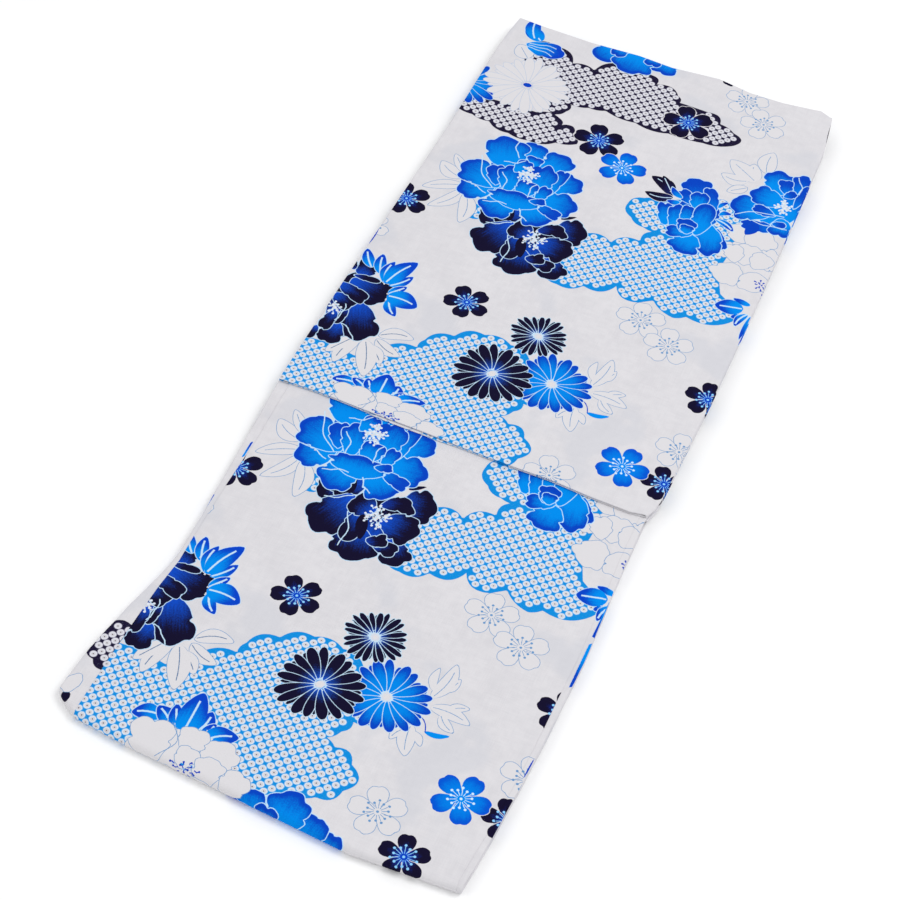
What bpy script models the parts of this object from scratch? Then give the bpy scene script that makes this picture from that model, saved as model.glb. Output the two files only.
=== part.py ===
"""Cotton yukata, folded the long way by its seams, then in two, and laid flat.

Blender's units are metres.  X runs across the packet, +X towards the centre
back.  Y runs along it, +Y towards the shoulders.  +Z is up from the surface
that the packet lies on, and the origin is under the middle of its box.

The body is one bundle of cloth, folded in two at the -Y end, so each of its
pieces follows the same path: along the top from the shoulders, round the end
fold and back underneath to the hem.  The left sleeve lies on the top half and
the right sleeve between the two halves.
"""
from collections import namedtuple
from math import cos, pi, sin

import bmesh
import bpy

MM = 0.001

# ---------------------------------------------------------------- thickness
CLOTH = 1.0            # wall of one layer of cloth, with the air it traps
GAP = 0.3              # clearance between pieces that touch
CORE = 1.6             # the layers hidden inside one half of the body
BUNDLE = 2 * CLOTH + 2 * GAP + CORE          # one half of the body
SLEEVE = 2.4           # both layers of a folded sleeve
EDGE_RADIUS = BUNDLE / 2                     # the folds along the long edges
END_RADIUS = (2 * BUNDLE + GAP) / 2          # the fold at the -Y end
SLEEVE_RADIUS = SLEEVE / 2
LOW_TOP = 2 * END_RADIUS                     # top of the body at its end fold
HIGH_TOP = LOW_TOP + SLEEVE + GAP            # top of it over the right sleeve
RISE_START = -160.0    # y where the top begins to climb over the right sleeve
RISE_END = -84.0       # y where it has climbed all the way

# ----------------------------------------------------------- outline of body
SHOULDER_Y = 424.0     # where the flat of the top ends and its fold begins
HEM_Y = 421.0          # where the hem lies, underneath
INNER_SETBACK = 1.0    # how far the layers inside stop short of that fold
RETURN_WIDTH = 45.0    # how far the left front reaches in from its fold

BodyRow = namedtuple("BodyRow", "y left_fold side_seam back_seam right_fold")
BODY = (
    BodyRow(430.0, -138.0, -128.0, 147.0, 152.0),
    BodyRow(100.0, -143.0, -134.0, 148.0, 153.0),
    BodyRow(-70.0, -146.0, -137.0, 148.0, 153.0),
    BodyRow(-126.0, -144.0, -136.0, 148.0, 153.0),
    BodyRow(-190.0, -142.0, -137.0, 150.0, 155.0),
    BodyRow(-220.0, -140.5, -137.0, 151.0, 156.0),
    BodyRow(-262.0, -139.5, -136.0, 150.0, 155.0),
    BodyRow(-290.0, -143.0, -138.5, 150.0, 154.5),
    BodyRow(-331.0, -150.0, -140.0, 149.0, 153.0),
    BodyRow(-382.0, -157.0, -141.0, 146.0, 150.0),
    BodyRow(-433.0, -160.0, -141.0, 141.5, 146.0),
)

FoldRow = namedtuple("FoldRow", "x y")
END_FOLD = (
    FoldRow(-160.0, -398.0),
    FoldRow(-154.0, -403.0),
    FoldRow(-141.0, -412.0),
    FoldRow(-99.0, -418.0),
    FoldRow(-8.0, -426.0),
    FoldRow(69.0, -433.0),
    FoldRow(146.0, -430.0),
)

PANEL_CORNERS = (-99.0, -8.0, 69.0)          # where the end fold bends
FRONT_CORNERS = (-154.0, -141.0)
CORNER_STEP = 0.4

# --------------------------------------------------------- outline of sleeves
SideRow = namedtuple("SideRow", "y left right")
SLEEVE_SIDES = (
    SideRow(430.0, -139.0, 151.0),
    SideRow(408.0, -141.0, 154.0),
    SideRow(384.0, -142.0, 157.0),
    SideRow(267.0, -141.0, 159.0),
    SideRow(185.0, -142.0, 160.0),
    SideRow(56.0, -144.0, 160.0),
    SideRow(-37.0, -145.0, 158.0),
    SideRow(-58.0, -145.0, 157.5),
    SideRow(-69.0, -145.0, 156.0),
    SideRow(-80.0, -145.0, 150.0),
)

EndRow = namedtuple("EndRow", "x lower upper")
SLEEVE_ENDS = (
    EndRow(-145.0, -72.0, 430.0),
    EndRow(-113.0, -71.0, 428.0),
    EndRow(-70.0, -73.0, 427.0),
    EndRow(-26.0, -74.0, 430.0),
    EndRow(5.0, -75.5, 428.0),
    EndRow(47.0, -76.5, 433.0),
    EndRow(77.0, -76.5, 427.5),
    EndRow(107.0, -79.0, 428.0),
    EndRow(142.0, -80.0, 433.5),
    EndRow(156.0, -78.0, 429.0),
)
CUFF_OPENING_Y = 200.0  # the hand opening runs from here to the top
ARMHOLE_Y = 200.0       # the sleeve hangs free of the body below this

# ------------------------------------------------------------------- meshing
TOP_ROWS = 25
END_ROWS = 5
UNDER_ROWS = 8
BEND_STEPS = 4
SLEEVE_ROWS = 18
SLEEVE_COLUMNS = 9

COTTON = (0.78, 0.77, 0.82)
PALE_BLUE = (0.42, 0.60, 0.85)
SHADED_COTTON = (0.64, 0.63, 0.70)


def clear_scene():
    """Remove every object that the file opened with."""
    for thing in list(bpy.data.objects):
        bpy.data.objects.remove(thing)


def between(rows, key, column, at):
    """Read one column of a table at a place between its rows."""
    ordered = sorted(rows, key=lambda row: getattr(row, key))
    places = [getattr(row, key) for row in ordered]
    values = [getattr(row, column) for row in ordered]
    if at <= places[0]:
        return values[0]
    for low, high, first, last in zip(places, places[1:], values, values[1:]):
        if at <= high:
            return first + (last - first) * (at - low) / (high - low)
    return values[-1]


def smooth_step(start, end, at):
    """Return 0 before start and 1 after end, with an even slope between."""
    share = min(1.0, max(0.0, (at - start) / (end - start)))
    return share * share * (3.0 - 2.0 * share)


def body_x(column, y):
    """Return the x of one edge or seam of the body at y."""
    return between(BODY, "y", column, y)


def end_y(x):
    """Return the y where the middle of the end fold begins at x."""
    return between(END_FOLD, "x", "y", x) + END_RADIUS


def top_height(y):
    """Return the height of the body's top surface at y."""
    return LOW_TOP + (HIGH_TOP - LOW_TOP) * smooth_step(RISE_START, RISE_END, y)


# ------------------------------------------------------- the body's one path
Station = namedtuple("Station", "leg share")


def path_stations(start=0.0):
    """Return the stations from the shoulders round the end to the hem."""
    top = [Station("top", start + (1.0 - start) * i / TOP_ROWS) for i in range(TOP_ROWS)]
    end = [Station("end", i / END_ROWS) for i in range(END_ROWS)]
    under = [Station("under", i / UNDER_ROWS) for i in range(UNDER_ROWS + 1)]
    return top + end + under


def nominal_y(station):
    """Return a station's y for a body whose end fold is square."""
    square_end = end_y(0.0)
    if station.leg == "top":
        return SHOULDER_Y + (square_end - SHOULDER_Y) * station.share
    if station.leg == "under":
        return square_end + (HEM_Y - square_end) * station.share
    return square_end - END_RADIUS


def place(station, x, depth):
    """Put a point of the bundle where the folded body has it.

    x is across the body, and depth is how far the point lies under the
    outermost layer, whichever way up that layer is here.
    """
    turn_y = end_y(x)
    if station.leg == "top":
        y = SHOULDER_Y + (turn_y - SHOULDER_Y) * station.share
        return (x * MM, y * MM, (top_height(y) - depth) * MM)
    if station.leg == "under":
        y = turn_y + (HEM_Y - turn_y) * station.share
        return (x * MM, y * MM, depth * MM)
    angle = pi * station.share
    reach = END_RADIUS - depth
    y = turn_y - reach * sin(angle)
    z = END_RADIUS + reach * cos(angle)
    return (x * MM, y * MM, z * MM)


# ------------------------------------------------------------ mesh and finish
def paint(thing, colour, roughness):
    """Give an object its own cotton finish."""
    finish = bpy.data.materials.new(thing.name + "_cotton")
    finish.use_nodes = True
    shader = finish.node_tree.nodes["Principled BSDF"]
    shader.inputs["Base Color"].default_value = (*colour, 1.0)
    shader.inputs["Roughness"].default_value = roughness
    shader.inputs["Metallic"].default_value = 0.0
    finish.diffuse_color = (*colour, 1.0)
    thing.data.materials.append(finish)


def add_object(name, shape, colour, roughness=0.9):
    """Turn a bmesh into a named object of the scene."""
    bmesh.ops.recalc_face_normals(shape, faces=shape.faces)
    mesh = bpy.data.meshes.new(name)
    shape.to_mesh(mesh)
    shape.free()
    mesh.shade_smooth()
    mesh.set_sharp_from_angle(angle=pi / 4)
    thing = bpy.data.objects.new(name, mesh)
    bpy.context.scene.collection.objects.link(thing)
    paint(thing, colour, roughness)
    return thing


def grid_of(columns, rows, locate, closed=False):
    """Make a grid of faces and put each of its points where locate says."""
    shape = bmesh.new()
    lines = []
    for j in range(rows):
        lines.append([shape.verts.new(locate(i, j)) for i in range(columns)])
    last = columns if closed else columns - 1
    for lower, upper in zip(lines, lines[1:]):
        for i in range(last):
            after = (i + 1) % columns
            shape.faces.new((lower[i], lower[after], upper[after], upper[i]))
    return shape, lines


def thicken(thing, towards):
    """Give a surface the thickness of the cloth, on its inner side."""
    wall = thing.modifiers.new("cloth wall", "SOLIDIFY")
    wall.thickness = CLOTH * MM
    wall.offset = towards
    wall.use_even_offset = True
    wall.use_rim = True


def outward(thing, sample, direction):
    """Return the Solidify offset that thickens a surface on its inner side.

    sample is a face of the mesh and direction the way that its outer side
    should look, so the wall is built away from that side.
    """
    looks_out = thing.data.polygons[sample].normal.dot(direction) > 0.0
    return -1.0 if looks_out else 1.0


def swept_solid(name, profile, stations, colour, lead=()):
    """Carry a closed outline across the body along its path, with flat ends.

    profile gives, for a station, the outline's outer points and its inner
    points as (x, depth), in the same order and number; lead holds rings of
    finished points that come before the path.
    """
    rings = [list(ring) for ring in lead]
    for station in stations:
        outer, inner = profile(station)
        rings.append([place(station, x, depth) for x, depth in outer + inner[::-1]])
    count = len(rings[0])
    shape, lines = grid_of(count, len(rings), lambda i, j: rings[j][i], closed=True)
    for line in (lines[0], lines[-1][::-1]):
        for i in range(count // 2 - 1):
            shape.faces.new((line[i], line[i + 1], line[-i - 2], line[-i - 1]))
    return add_object(name, shape, colour)


def columns(first, last, corners):
    """Return the x of the points from first to last, at the fold's corners.

    Wide layers bend only at these corners, so that they nest.  A corner that
    lies past an end is held just inside it, which keeps the count the same.
    """
    low, high = min(first, last), max(first, last)
    count = len(corners)
    held = []
    for i, corner in enumerate(sorted(corners)):
        nearest = low + CORNER_STEP * (i + 1)
        farthest = high - CORNER_STEP * (count - i)
        held.append(min(farthest, max(nearest, corner)))
    line = [low] + held + [high]
    return line if first < last else line[::-1]


def edge_fold(fold_x, side, radius):
    """Return a long edge's fold, from the top to the inside, at one radius."""
    centre = fold_x - side * EDGE_RADIUS
    bend = []
    for step in range(BEND_STEPS + 1):
        angle = pi * step / BEND_STEPS
        bend.append((centre + side * radius * sin(angle), EDGE_RADIUS - radius * cos(angle)))
    return bend


def folded_layer(strip, fold, side, inside):
    """Return a layer that runs along a strip, round a long edge and back inside."""
    lines = []
    for depth in (0.0, CLOTH):
        bend = edge_fold(fold, side, EDGE_RADIUS - depth)
        lines.append([(x, depth) for x in strip] + bend + [(x, BUNDLE - depth) for x in inside])
    return lines


# --------------------------------------------------------------- body pieces
def back_left():
    """The left back, from its shoulder fold round the end fold to the hem."""
    def panel(station):
        y = nominal_y(station)
        return columns(body_x("side_seam", y), body_x("back_seam", y), PANEL_CORNERS)

    def across(station):
        return [[(x, depth) for x in panel(station)] for depth in (0.0, CLOTH)]

    shoulder = []
    for step in range(BEND_STEPS):
        angle = pi * (1.0 - step / BEND_STEPS)
        ring = []
        for radius, order in ((EDGE_RADIUS, 1), (EDGE_RADIUS - CLOTH, -1)):
            y = SHOULDER_Y + radius * sin(angle)
            z = HIGH_TOP - EDGE_RADIUS + radius * cos(angle)
            ring += [(x * MM, y * MM, z * MM) for x in panel(Station("top", 0.0))[::order]]
        shoulder.append(ring)
    return swept_solid("back_left", across, path_stations(), COTTON, lead=shoulder)


def inner_start():
    """Return the share of the top leg where the layers inside it begin."""
    return INNER_SETBACK / (SHOULDER_Y - end_y(0.0))


def front_left():
    """The left front, turned under along a fold just outside the side seam."""
    def across(station):
        y = nominal_y(station)
        fold = body_x("left_fold", y)
        bend_start = fold + EDGE_RADIUS
        strip = columns(body_x("side_seam", y) - GAP, bend_start, FRONT_CORNERS[:1])
        inside = columns(bend_start, fold + RETURN_WIDTH, FRONT_CORNERS)
        return folded_layer(strip[:-1], fold, -1.0, inside[1:])

    return swept_solid("front_left", across, path_stations(inner_start()), PALE_BLUE)


def back_right():
    """The right back, behind the centre back seam and across the inside."""
    def across(station):
        y = nominal_y(station)
        fold = body_x("right_fold", y)
        far = body_x("left_fold", y) + RETURN_WIDTH + GAP
        inside = columns(fold - EDGE_RADIUS, far, PANEL_CORNERS)
        return folded_layer([body_x("back_seam", y) + GAP], fold, 1.0, inside[1:])

    return swept_solid("back_right", across, path_stations(inner_start()), SHADED_COTTON)


def hidden_layers():
    """Everything folded away inside: right front, okumi panels and collar."""
    radius = CORE / 2

    def across(station):
        y = nominal_y(station)
        left = body_x("left_fold", y) + EDGE_RADIUS + radius
        right = body_x("right_fold", y) - EDGE_RADIUS - radius
        angles = [pi / 2 * (step + 1) / BEND_STEPS for step in range(BEND_STEPS)]
        bends = [(radius * cos(angle), radius * sin(angle)) for angle in angles]
        flat = columns(left, right, FRONT_CORNERS + PANEL_CORNERS)[1:-1]
        halves = []
        for side in (-1.0, 1.0):
            near = [(left - x, EDGE_RADIUS + side * rise) for x, rise in bends]
            middle = [(x, EDGE_RADIUS + side * radius) for x in flat]
            distant = [(right + x, EDGE_RADIUS + side * rise) for x, rise in bends[::-1]]
            halves.append(near + middle + distant)
        return halves

    return swept_solid("hidden_layers", across, path_stations(inner_start()), SHADED_COTTON)


# ------------------------------------------------------------------- sleeves
def sleeve_outline(column, row):
    """Return the x and y of one point of a sleeve's flat grid."""
    across = column / (SLEEVE_COLUMNS - 1)
    along = row / (SLEEVE_ROWS - 1)
    lower = between(SLEEVE_ENDS, "x", "lower", 0.0)
    upper = between(SLEEVE_ENDS, "x", "upper", 0.0)
    y = lower + (upper - lower) * along
    left = between(SLEEVE_SIDES, "y", "left", y) + SLEEVE_RADIUS
    right = between(SLEEVE_SIDES, "y", "right", y) - SLEEVE_RADIUS
    x = left + (right - left) * across
    lower = between(SLEEVE_ENDS, "x", "lower", x) + SLEEVE_RADIUS
    upper = between(SLEEVE_ENDS, "x", "upper", x) - SLEEVE_RADIUS
    return x, lower + (upper - lower) * along


def is_sewn(x, y, next_x, next_y):
    """Say whether a stretch of a sleeve's edge is folded or sewn shut."""
    if abs(next_x - x) > abs(next_y - y):
        return True
    middle = (y + next_y) / 2
    return middle < CUFF_OPENING_Y if x > 0.0 else middle > ARMHOLE_Y


def sleeve(name, base, colour):
    """Make a sleeve pressed flat: two layers, joined where folded or sewn."""
    shape = bmesh.new()
    layers = []
    for height in (base, base + SLEEVE):
        layer = []
        for row in range(SLEEVE_ROWS):
            points = [sleeve_outline(column, row) for column in range(SLEEVE_COLUMNS)]
            layer.append([shape.verts.new((x * MM, y * MM, height * MM)) for x, y in points])
        layers.append(layer)
        for low, high in zip(layer, layer[1:]):
            for i in range(SLEEVE_COLUMNS - 1):
                shape.faces.new((low[i], low[i + 1], high[i + 1], high[i]))

    def rim(layer):
        right = [line[-1] for line in layer]
        left = [line[0] for line in layer]
        return layer[0][:-1] + right[:-1] + layer[-1][:0:-1] + left[:0:-1]

    under, over = rim(layers[0]), rim(layers[1])
    count = len(under)
    middle = {}

    def mid_point(index):
        """Return the outermost point of the fold at one point of the rim."""
        if index not in middle:
            before, after = under[index - 1].co, under[(index + 1) % count].co
            along = (after - before).normalized()
            out = along.cross((0.0, 0.0, 1.0)) * SLEEVE_RADIUS * MM
            half_way = (under[index].co + over[index].co) / 2
            middle[index] = shape.verts.new(half_way + out)
        return middle[index]

    for i in range(count):
        j = (i + 1) % count
        x, y = under[i].co.x / MM, under[i].co.y / MM
        next_x, next_y = under[j].co.x / MM, under[j].co.y / MM
        if is_sewn(x, y, next_x, next_y):
            shape.faces.new((under[i], under[j], mid_point(j), mid_point(i)))
            shape.faces.new((mid_point(i), mid_point(j), over[j], over[i]))
    thing = add_object(name, shape, colour)
    thicken(thing, outward(thing, 0, (0.0, 0.0, -1.0)))
    return thing


def main():
    """Build the folded yukata."""
    clear_scene()
    back_left()
    front_left()
    back_right()
    hidden_layers()
    sleeve("sleeve_right", BUNDLE + GAP, SHADED_COTTON)
    sleeve("sleeve_left", HIGH_TOP + GAP, COTTON)


main()
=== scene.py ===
"""Dresses the folded cotton yukata: printed cloth, rolled folds, seams and light.

Lengths are in millimetres until a mesh is made, then in metres.  X runs across
the packet, +X towards the centre back, +Y towards the shoulders and +Z up.
The print is laid out on flat cloth, in millimetres of the sleeve's own X and Y.
"""
import logging
from dataclasses import dataclass, field
from enum import Enum
from math import cos, pi, radians, sin
from typing import Any, Callable, Optional, Sequence, Union

import bmesh
import bpy
import numpy as np
from mathutils import Matrix, Vector


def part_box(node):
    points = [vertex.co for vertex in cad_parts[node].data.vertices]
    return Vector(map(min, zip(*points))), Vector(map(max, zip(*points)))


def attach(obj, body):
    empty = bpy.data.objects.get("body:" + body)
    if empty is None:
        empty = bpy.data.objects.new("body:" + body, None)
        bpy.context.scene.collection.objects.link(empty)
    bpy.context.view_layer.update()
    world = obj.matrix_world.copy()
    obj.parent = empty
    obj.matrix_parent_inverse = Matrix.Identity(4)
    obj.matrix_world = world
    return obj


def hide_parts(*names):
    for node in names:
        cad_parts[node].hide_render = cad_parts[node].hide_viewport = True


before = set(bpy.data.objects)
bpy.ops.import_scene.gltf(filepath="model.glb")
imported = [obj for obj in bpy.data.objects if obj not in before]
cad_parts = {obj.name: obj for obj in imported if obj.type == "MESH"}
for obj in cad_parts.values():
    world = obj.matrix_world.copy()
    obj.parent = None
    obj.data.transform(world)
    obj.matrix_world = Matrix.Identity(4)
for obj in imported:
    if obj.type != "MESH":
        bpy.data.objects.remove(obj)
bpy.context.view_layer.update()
log = logging.getLogger("yukata")

MM = 0.001
Array = np.ndarray

# ------------------------------------------------------------ levels, from CAD
SLEEVE_LOW, SLEEVE_HIGH = (corner[2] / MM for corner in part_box("sleeve_left"))
INNER_LOW, INNER_HIGH = (corner[2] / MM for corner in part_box("sleeve_right"))
HIGH_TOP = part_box("back_left")[1][2] / MM
GAP = 0.3                    # clearance between pieces that touch
BUNDLE = INNER_LOW - GAP     # thickness of one half of the body
END_RADIUS = BUNDLE + GAP / 2
LOW_TOP = 2 * END_RADIUS
EDGE_RADIUS = BUNDLE / 2
RISE = (-160.0, -84.0)       # where the top climbs over the inner sleeve
SHOULDER_Y = 424.0
HEM_Y = 421.0
PRINT_SHIFT = 325.0          # the back's print lies this far down the sleeve's

# ------------------------------------------------------------ outlines of cloth
BODY_Y = (-433, -382, -331, -290, -262, -220, -190, -126, -70, 100, 430)
LEFT_FOLD = (-160, -157, -150, -143, -139.5, -140.5, -142, -144, -146, -143, -138)
SIDE_SEAM = (-141, -141, -140, -138.5, -136, -137, -137, -136, -137, -134, -128)
BACK_SEAM = (141.5, 146, 149, 150, 150, 151, 150, 148, 148, 148, 147)
RIGHT_FOLD = (146, 150, 153, 154.5, 155, 156, 155, 153, 153, 153, 152)
END_X = (-160, -154, -141, -99, -8, 69, 146)
END_Y = (-398, -403, -412, -418, -426, -433, -430)
SLEEVE_Y = (-80, -76, -69, -58, -37, 56, 185, 267, 384, 408, 430)
SLEEVE_LEFT = (-145, -145, -145, -145, -145, -144, -142, -141, -142, -141, -139)
SLEEVE_RIGHT = (150, 153, 156, 157.5, 158, 160, 160, 159, 157, 154, 151)
SLEEVE_X = (-145, -113, -70, -26, 5, 47, 77, 107, 142, 156)
SLEEVE_BOTTOM = (-72, -71, -73, -74, -75.5, -76.5, -76.5, -79, -80, -78)
SLEEVE_TOP = (430, 428, 427, 430, 428, 433, 427.5, 428, 433.5, 429)
CUFF_Y = 200.0               # the hand opening runs from here to the top
SLEEVE_COLUMNS = (-144, 158)           # what lies flat between the edges that turn under
SLEEVE_ROWS = (-76, 429)
PANEL_COLUMNS = (-136, 149)
SLEEVE_BAND = 24.0                     # how far the lattice gives way beside the edges
PANEL_BAND = 20.0
END_MIDDLE = float(np.interp(0.0, END_X, END_Y))
ARC = pi * END_RADIUS        # the length of cloth round the end fold
TURN = PRINT_SHIFT + END_MIDDLE + END_RADIUS          # where the end fold starts, along the cloth
LAST_SHOWN = PRINT_SHIFT + min(END_Y) + END_RADIUS - ARC - 2.0
UNDER_SLEEVE = 262.0         # from here on the sleeve covers the back
SHOULDER = SHOULDER_Y + PRINT_SHIFT

# -------------------------------------------------------------------- the print
DOT_PITCH = 8.2              # a row of tied dots, along the cloth's own threads
FINE = DOT_PITCH / 6         # face size where the print shows
COARSE = DOT_PITCH / 2       # face size underneath
INKS_PER_FACE = 4
RAMP_STEPS = 32.0            # more than the number of inks
WIDEST = 12.0                # a little more than the widest mark
SHEET_STEP = 4.0             # keeps grids apart while a mesh is made
MARK_REACH = 1.2             # a mark may touch faces this far outside its outline
CLOUD_REACH = 3.0
SOFT_EDGE = 0.3              # a patch's soft edge, and how far inside its rim it hides all below
RIM_CLEAR = 0.4
LINE_CLEAR = 0.2             # a line's soft edge
NO_CLOUD = -9.0              # a depth that is outside every cloud
DOT_INSET = 2.7              # a dot nearer than this to a cloud's edge is left out
DOT_RADIUS = 2.8
RING_RADIUS = 1.3            # a tied dot's own ring, and its brown middle
SPOT_RADIUS = 0.62
STAMENS = 14                 # round a cherry blossom's heart
RAY = (2.6, 7.8, 0.22)       # where each stamen starts and ends, and half its width
BEAD = (7.2, 1.8, 0.95)      # how far out its bead is, every other one's extra, and the bead's radius


def linear(red: int, green: int, blue: int) -> tuple:
    """Turn a screen colour into the linear colour that a shader takes."""
    shares = (channel / 255.0 for channel in (red, green, blue))
    return tuple(share / 12.92 if share < 0.04 else ((share + 0.055) / 1.055) ** 2.4 for share in shares)


WHITE = linear(217, 215, 218)
LINE_WHITE = linear(192, 220, 240)
AZURE = linear(0, 138, 232)
DEEP = linear(6, 66, 188)
ROYAL = linear(14, 66, 180)
NAVY = linear(20, 16, 44)
INK_GREY = linear(104, 148, 194)
PALE = linear(204, 212, 228)
GHOST = linear(202, 203, 210)
CLOUD_BLUE = linear(12, 138, 216)
CLOUD_NAVY = linear(26, 18, 48)
DISC_WHITE = linear(224, 224, 229)
DISC_BLUE = linear(132, 192, 236)
DISC_NAVY = linear(170, 168, 188)
RING_GREY = linear(128, 130, 148)
SPOT_BROWN = linear(96, 78, 84)


class Mark(Enum):
    """How an ink is laid on the cloth."""

    PATCH = 0
    LINE = 1
    DOT = 2
    BURST = 3


@dataclass(frozen=True)
class Ink:
    """One printed colouring: its rim, and its colour from heart to tip.

    width is the rim's width on a patch, and half the width of a line or dot;
    turn is how far towards the tip a patch passes from near to far.
    """

    rim: tuple
    near: tuple
    far: tuple
    width: float
    mark: Mark = Mark.PATCH
    turn: float = 0.6


INKS = {
    "blue_petal": Ink(linear(184, 222, 248), AZURE, DEEP, 0.62, turn=0.6),
    "deep_petal": Ink(linear(184, 222, 248), linear(0, 116, 222), DEEP, 0.62, turn=0.38),
    "navy_petal": Ink(linear(184, 214, 240), linear(16, 76, 196), NAVY, 0.58, turn=0.34),
    "night_petal": Ink(linear(184, 214, 240), linear(16, 60, 170), NAVY, 0.58, turn=0.25),
    "blue_sakura": Ink(WHITE, linear(0, 124, 226), linear(4, 84, 205), 0.5, turn=0.6),
    "navy_sakura": Ink(WHITE, linear(10, 62, 186), NAVY, 0.5, turn=0.22),
    "white_petal": Ink(INK_GREY, WHITE, WHITE, 0.4),
    "navy_kiku": Ink(LINE_WHITE, linear(24, 88, 206), NAVY, 0.48, turn=0.24),
    "blue_kiku": Ink(LINE_WHITE, linear(0, 132, 228), DEEP, 0.5, turn=0.68),
    "white_kiku": Ink(linear(184, 196, 216), WHITE, WHITE, 0.4),
    "blue_leaf": Ink(LINE_WHITE, AZURE, linear(8, 66, 194), 0.5, turn=0.5),
    "navy_leaf": Ink(WHITE, linear(24, 34, 90), NAVY, 0.5, turn=0.3),
    "blue_strip": Ink(AZURE, AZURE, DEEP, 0.1),
    "blue_core": Ink(AZURE, AZURE, linear(8, 66, 194), 0.0, turn=0.5),
    "white_core": Ink(WHITE, WHITE, WHITE, 0.0),
    "navy_core": Ink(NAVY, linear(24, 34, 90), NAVY, 0.0, turn=0.3),
    "deep_patch": Ink(DEEP, DEEP, DEEP, 0.3),
    "navy_patch": Ink(NAVY, NAVY, NAVY, 0.3),
    "pale_patch": Ink(PALE, WHITE, PALE, 0.5),
    "white_line": Ink(LINE_WHITE, LINE_WHITE, LINE_WHITE, 0.42, Mark.LINE),
    "leaf_line": Ink(LINE_WHITE, LINE_WHITE, LINE_WHITE, 0.7, Mark.LINE),
    "grey_line": Ink(INK_GREY, INK_GREY, INK_GREY, 0.24, Mark.LINE),
    "vein_line": Ink(linear(96, 124, 160), linear(96, 124, 160), linear(96, 124, 160), 0.34, Mark.LINE),
    "blue_line": Ink(DEEP, DEEP, DEEP, 0.4, Mark.LINE),
    "white_dot": Ink(linear(220, 228, 240), WHITE, WHITE, 0.95, Mark.DOT),
    "navy_dot": Ink(ROYAL, ROYAL, ROYAL, 0.8, Mark.DOT),
    "light_burst": Ink(linear(140, 204, 250), WHITE, WHITE, 10.4, Mark.BURST),
    "white_burst": Ink(linear(204, 232, 252), WHITE, WHITE, 10.4, Mark.BURST),
    "grey_burst": Ink(INK_GREY, INK_GREY, INK_GREY, 10.4, Mark.BURST),
}
INK_NUMBER = {name: number + 1 for number, name in enumerate(INKS)}


# ============================================================ marks on the cloth
@dataclass(frozen=True)
class Patch:
    """One printed mark: its outline or line, its ink and the way it shades."""

    ink: str
    outline: Array
    heart: tuple
    tip: tuple


def signed_distance(points: Array, outline: Array) -> Array:
    """Measure how far points lie inside a closed outline.

    Args:
        points: The points, n x 2.
        outline: The outline's corners, m x 2.

    Returns:
        The distance to the outline, positive inside it.
    """
    result = np.empty(len(points))
    edge = np.roll(outline, -1, axis=0) - outline
    square = np.maximum((edge ** 2).sum(axis=1), 1e-9)
    batch = max(1, 1_500_000 // len(outline))
    for first in range(0, len(points), batch):
        some = points[first:first + batch]
        away = some[:, None, :] - outline[None]
        share = np.clip((away * edge).sum(axis=2) / square, 0.0, 1.0)
        gap = away - share[..., None] * edge
        distance = np.sqrt((gap ** 2).sum(axis=2).min(axis=1))
        below, above = outline[:, 1], outline[:, 1] + edge[:, 1]
        level = some[:, 1:2]
        spans = (below <= level) != (above <= level)
        rise = np.where(np.abs(edge[:, 1]) < 1e-12, 1e-12, edge[:, 1])
        cross = outline[:, 0] + (level - below) / rise * edge[:, 0]
        inside = (spans & (some[:, 0:1] < cross)).sum(axis=1) % 2 == 1
        result[first:first + batch] = np.where(inside, distance, -distance)
    return result


def placed(heart: tuple, tip: tuple, forward: Array, sideways: Array) -> Array:
    """Lay an outline out between two points.

    Args:
        heart: Where it starts.
        tip: Where it ends.
        forward: How far along from heart to tip each point is, as a share.
        sideways: How far each point lies to the left of that line.

    Returns:
        The closed outline.
    """
    along = np.array(tip, float) - np.array(heart, float)
    across = np.array((-along[1], along[0])) / np.linalg.norm(along)
    return np.array(heart, float) + np.outer(forward, along) + np.outer(sideways, across)


def rounded(heart: tuple, tip: tuple, width: float, lobes: int = 1, notch: float = 0.0,
            taper: float = 0.0) -> Array:
    """Draw a petal: an oval from heart to tip, its outer edge cut into lobes.

    Args:
        heart: Where the petal grows from.
        tip: The middle of its outer edge.
        width: Its greatest width.
        lobes: How many lobes its outer edge has.
        notch: How deep the notches between them are, as a share of its size.
        taper: How much narrower its heart is than its tip, from 0 to 1.

    Returns:
        The closed outline.
    """
    turn = np.linspace(-pi, pi, 57)[:-1]
    step = np.clip(turn / pi + 0.5, 0.0, 1.0) * lobes
    scallop = 1.0 - notch * (1.0 - np.abs(np.sin(pi * step)) ** 0.5) * (np.abs(turn) < 1.65)
    if lobes > 1:
        phase = 0.37 * heart[0] + 0.61 * tip[1]
        scallop = scallop + 0.035 * np.sin(4.0 * turn + phase) + 0.022 * np.sin(9.0 * turn + 2.0 * phase)
    forward = 0.52 + 0.48 * np.cos(turn) * scallop
    sideways = 0.5 * np.sin(turn) * scallop * (1.0 + taper * np.cos(turn))
    return placed(heart, tip, forward, sideways * width)


def pointed(heart: tuple, tip: tuple, width: float, bend: float = 0.0) -> Array:
    """Draw a leaf, whose middle bends to its left by a share of its length."""
    share = np.linspace(0.0, 1.0, 17)
    half = 0.5 * width * np.sin(pi * share ** 0.85) ** 0.68
    middle = bend * np.hypot(tip[0] - heart[0], tip[1] - heart[1]) * np.sin(pi * share)
    sideways = np.concatenate((middle + half, (middle - half)[-2:0:-1]))
    return placed(heart, tip, np.concatenate((share, share[-2:0:-1])), sideways)


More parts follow.
